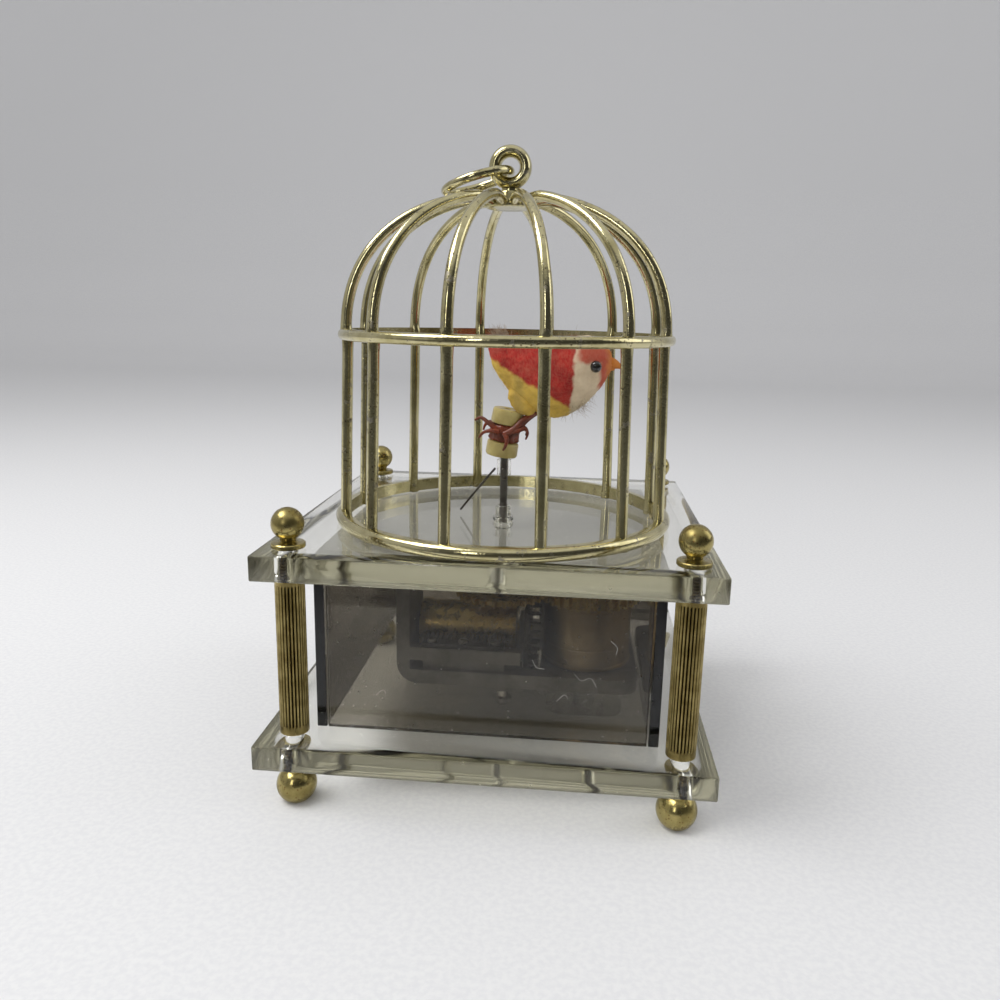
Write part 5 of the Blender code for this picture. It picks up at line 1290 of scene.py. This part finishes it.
def makeFloor():
    # a pale sheet that rises into the backdrop
    floor = fresh(bpy.ops.mesh.primitive_plane_add, size=1, location=(0, 0, -sheet["sink"]))
    floor.scale = sheet["size"]
    bpy.ops.object.transform_apply()
    corners = floor.data.vertices
    editWhere(floor, "edges", lambda edge: all(corners[v].co.y > sheet["backEdge"] for v in edge.vertices))
    bpy.ops.mesh.select_mode(type="EDGE")
    for back, up in sheet["steps"]:
        bpy.ops.mesh.extrude_region_move(TRANSFORM_OT_translate={"value": (0, back, up)})
    bpy.ops.object.mode_set(mode="OBJECT")
    floor.data.materials.append(paleClothPaintedReflection())
    bpy.ops.object.shade_smooth_by_angle(angle=math.radians(50))
    floor.name = "floor"
    print("floor done")


# each lamp: place, size and power
lamps = {"keyLamp": ((-0.34, -0.10, 0.60), (0.40, 0.30), 2.6),
         "sideLamp": ((0.60, 0.10, 0.40), (0.35, 0.45), 0.7),
         "frontLamp": ((-0.20, -0.70, 0.34), (0.07, 0.30), 0.5)}


def makeLight():
    for name, (where, size, power) in lamps.items():
        lamp = fresh(bpy.ops.object.light_add, type="AREA", location=where)
        lamp.name = name
        lamp.data.shape = "RECTANGLE"
        lamp.data.size, lamp.data.size_y = size
        lamp.data.energy = power
        lamp.rotation_euler = (Vector((0, 0, 0.05)) - lamp.location).to_track_quat("-Z", "Y").to_euler()
    print("lamps done")


# grey of the room as mirrors show it, as the camera sees it and as it shows through the sheets
room = {"front": (0.07, 0.07, 0.07), "behind": (0.62, 0.62, 0.63), "left": (0.55, 0.55, 0.56),
        "above": (0.8, 0.8, 0.8), "seen": (0.72, 0.72, 0.73), "through": (0.56, 0.56, 0.53), "strength": 0.8}


def makeWorld():
    # an even grey room that mirrors dark at the front and bright behind
    world = bpy.data.worlds.new("room")
    world.use_nodes = True
    bpy.context.scene.world = world
    x, y, z = apart(addNode(world.node_tree, "TexCoord").outputs["Generated"])
    mirrored = blend(ramp(y, -0.1, 0.5), room["front"], room["behind"])
    mirrored = blend(ramp(x, -0.5, -0.8), mirrored, room["left"])
    mirrored = blend(ramp(z, 0.55, 0.85), mirrored, room["above"])
    path = addNode(world.node_tree, "LightPath").outputs
    shown = blend(path["Is Glossy Ray"], room["seen"], mirrored)
    shown = blend(path["Is Transmission Ray"], shown, room["through"])
    feed(world.node_tree.nodes["Background"], Color=shown, Strength=room["strength"])


# the place is in millimetres and the turns in radians
camera = {"place": (15.427, -187.293, 97.588), "turn": 0.08848, "tilt": -0.21965, "roll": -0.02050,
          "lens": 29.916}


def makeCamera():
    bpy.ops.object.camera_add(location=[v * mm for v in camera["place"]])
    eyePiece = bpy.context.object
    turn = (Matrix.Rotation(camera["turn"], 3, "Z") @ Matrix.Rotation(camera["tilt"], 3, "X")
            @ Matrix.Rotation(camera["roll"], 3, "Y") @ Matrix.Rotation(math.radians(90), 3, "X"))
    eyePiece.rotation_euler = turn.to_euler()
    eyePiece.data.lens = camera["lens"]
    eyePiece.data.sensor_width = 36
    eyePiece.data.clip_start = 0.005
    bpy.context.scene.camera = eyePiece


clear = clearAcrylic()
gilt = champagnePlate()
balled = polishedBrass()
dark = plainMetal("darkSteel", "dark_steel", (0.17, 0.16, 0.15), (0.09, 0.08, 0.07), 0.36)
bright = plainMetal("brightSteel", "steel", (0.55, 0.55, 0.54), (0.38, 0.37, 0.36), 0.3)
wheelBrass = plainMetal("wheelBrass", "wheel_brass", (0.80, 0.66, 0.32), (0.62, 0.48, 0.22), 0.26)
copper = plainMetal("copperBarrel", "spring_barrel", (0.66, 0.54, 0.36), (0.52, 0.41, 0.27), 0.36)
cotton = paintedCotton()
brown = brownFibre()

makePlates(clear)
makeColumns(agedBrassGrooveShade())
makeFeet(balled)
makeFinials(balled)
makeSmokedBox(smokedAcrylic(), smokedLid())
castAndWheels(castZinc(), wheelBrass, dark, bright)
makeBarrel(copper)
makeTuneCylinder(wheelBrass)
makeCombScrews(bright)
makeHoops(gilt)
makeBars(gilt)
makeCrown(gilt)
makeHangingRing(gilt)
makeSpindle(clear, dark)
makeTriggerWire(dark)
makeSpool(perchPlastic())
makeFeetAndClaws(redBrownPlastic())
makeBody(cotton)
makeThighs(cotton)
makeDown(cotton, brown)
makeTail(brown)
makeEyes(blackBead())
makeBeak(cotton)
makeLint(lintLook())
makeFloor()
makeLight()
makeWorld()
makeCamera()
bpy.context.scene.view_settings.view_transform = "Standard"
# light is reflected many times along the clear plates before it leaves them
bpy.context.scene.cycles.glossy_bounces = 16
bpy.context.scene.cycles.max_bounces = 20
print("stage done")
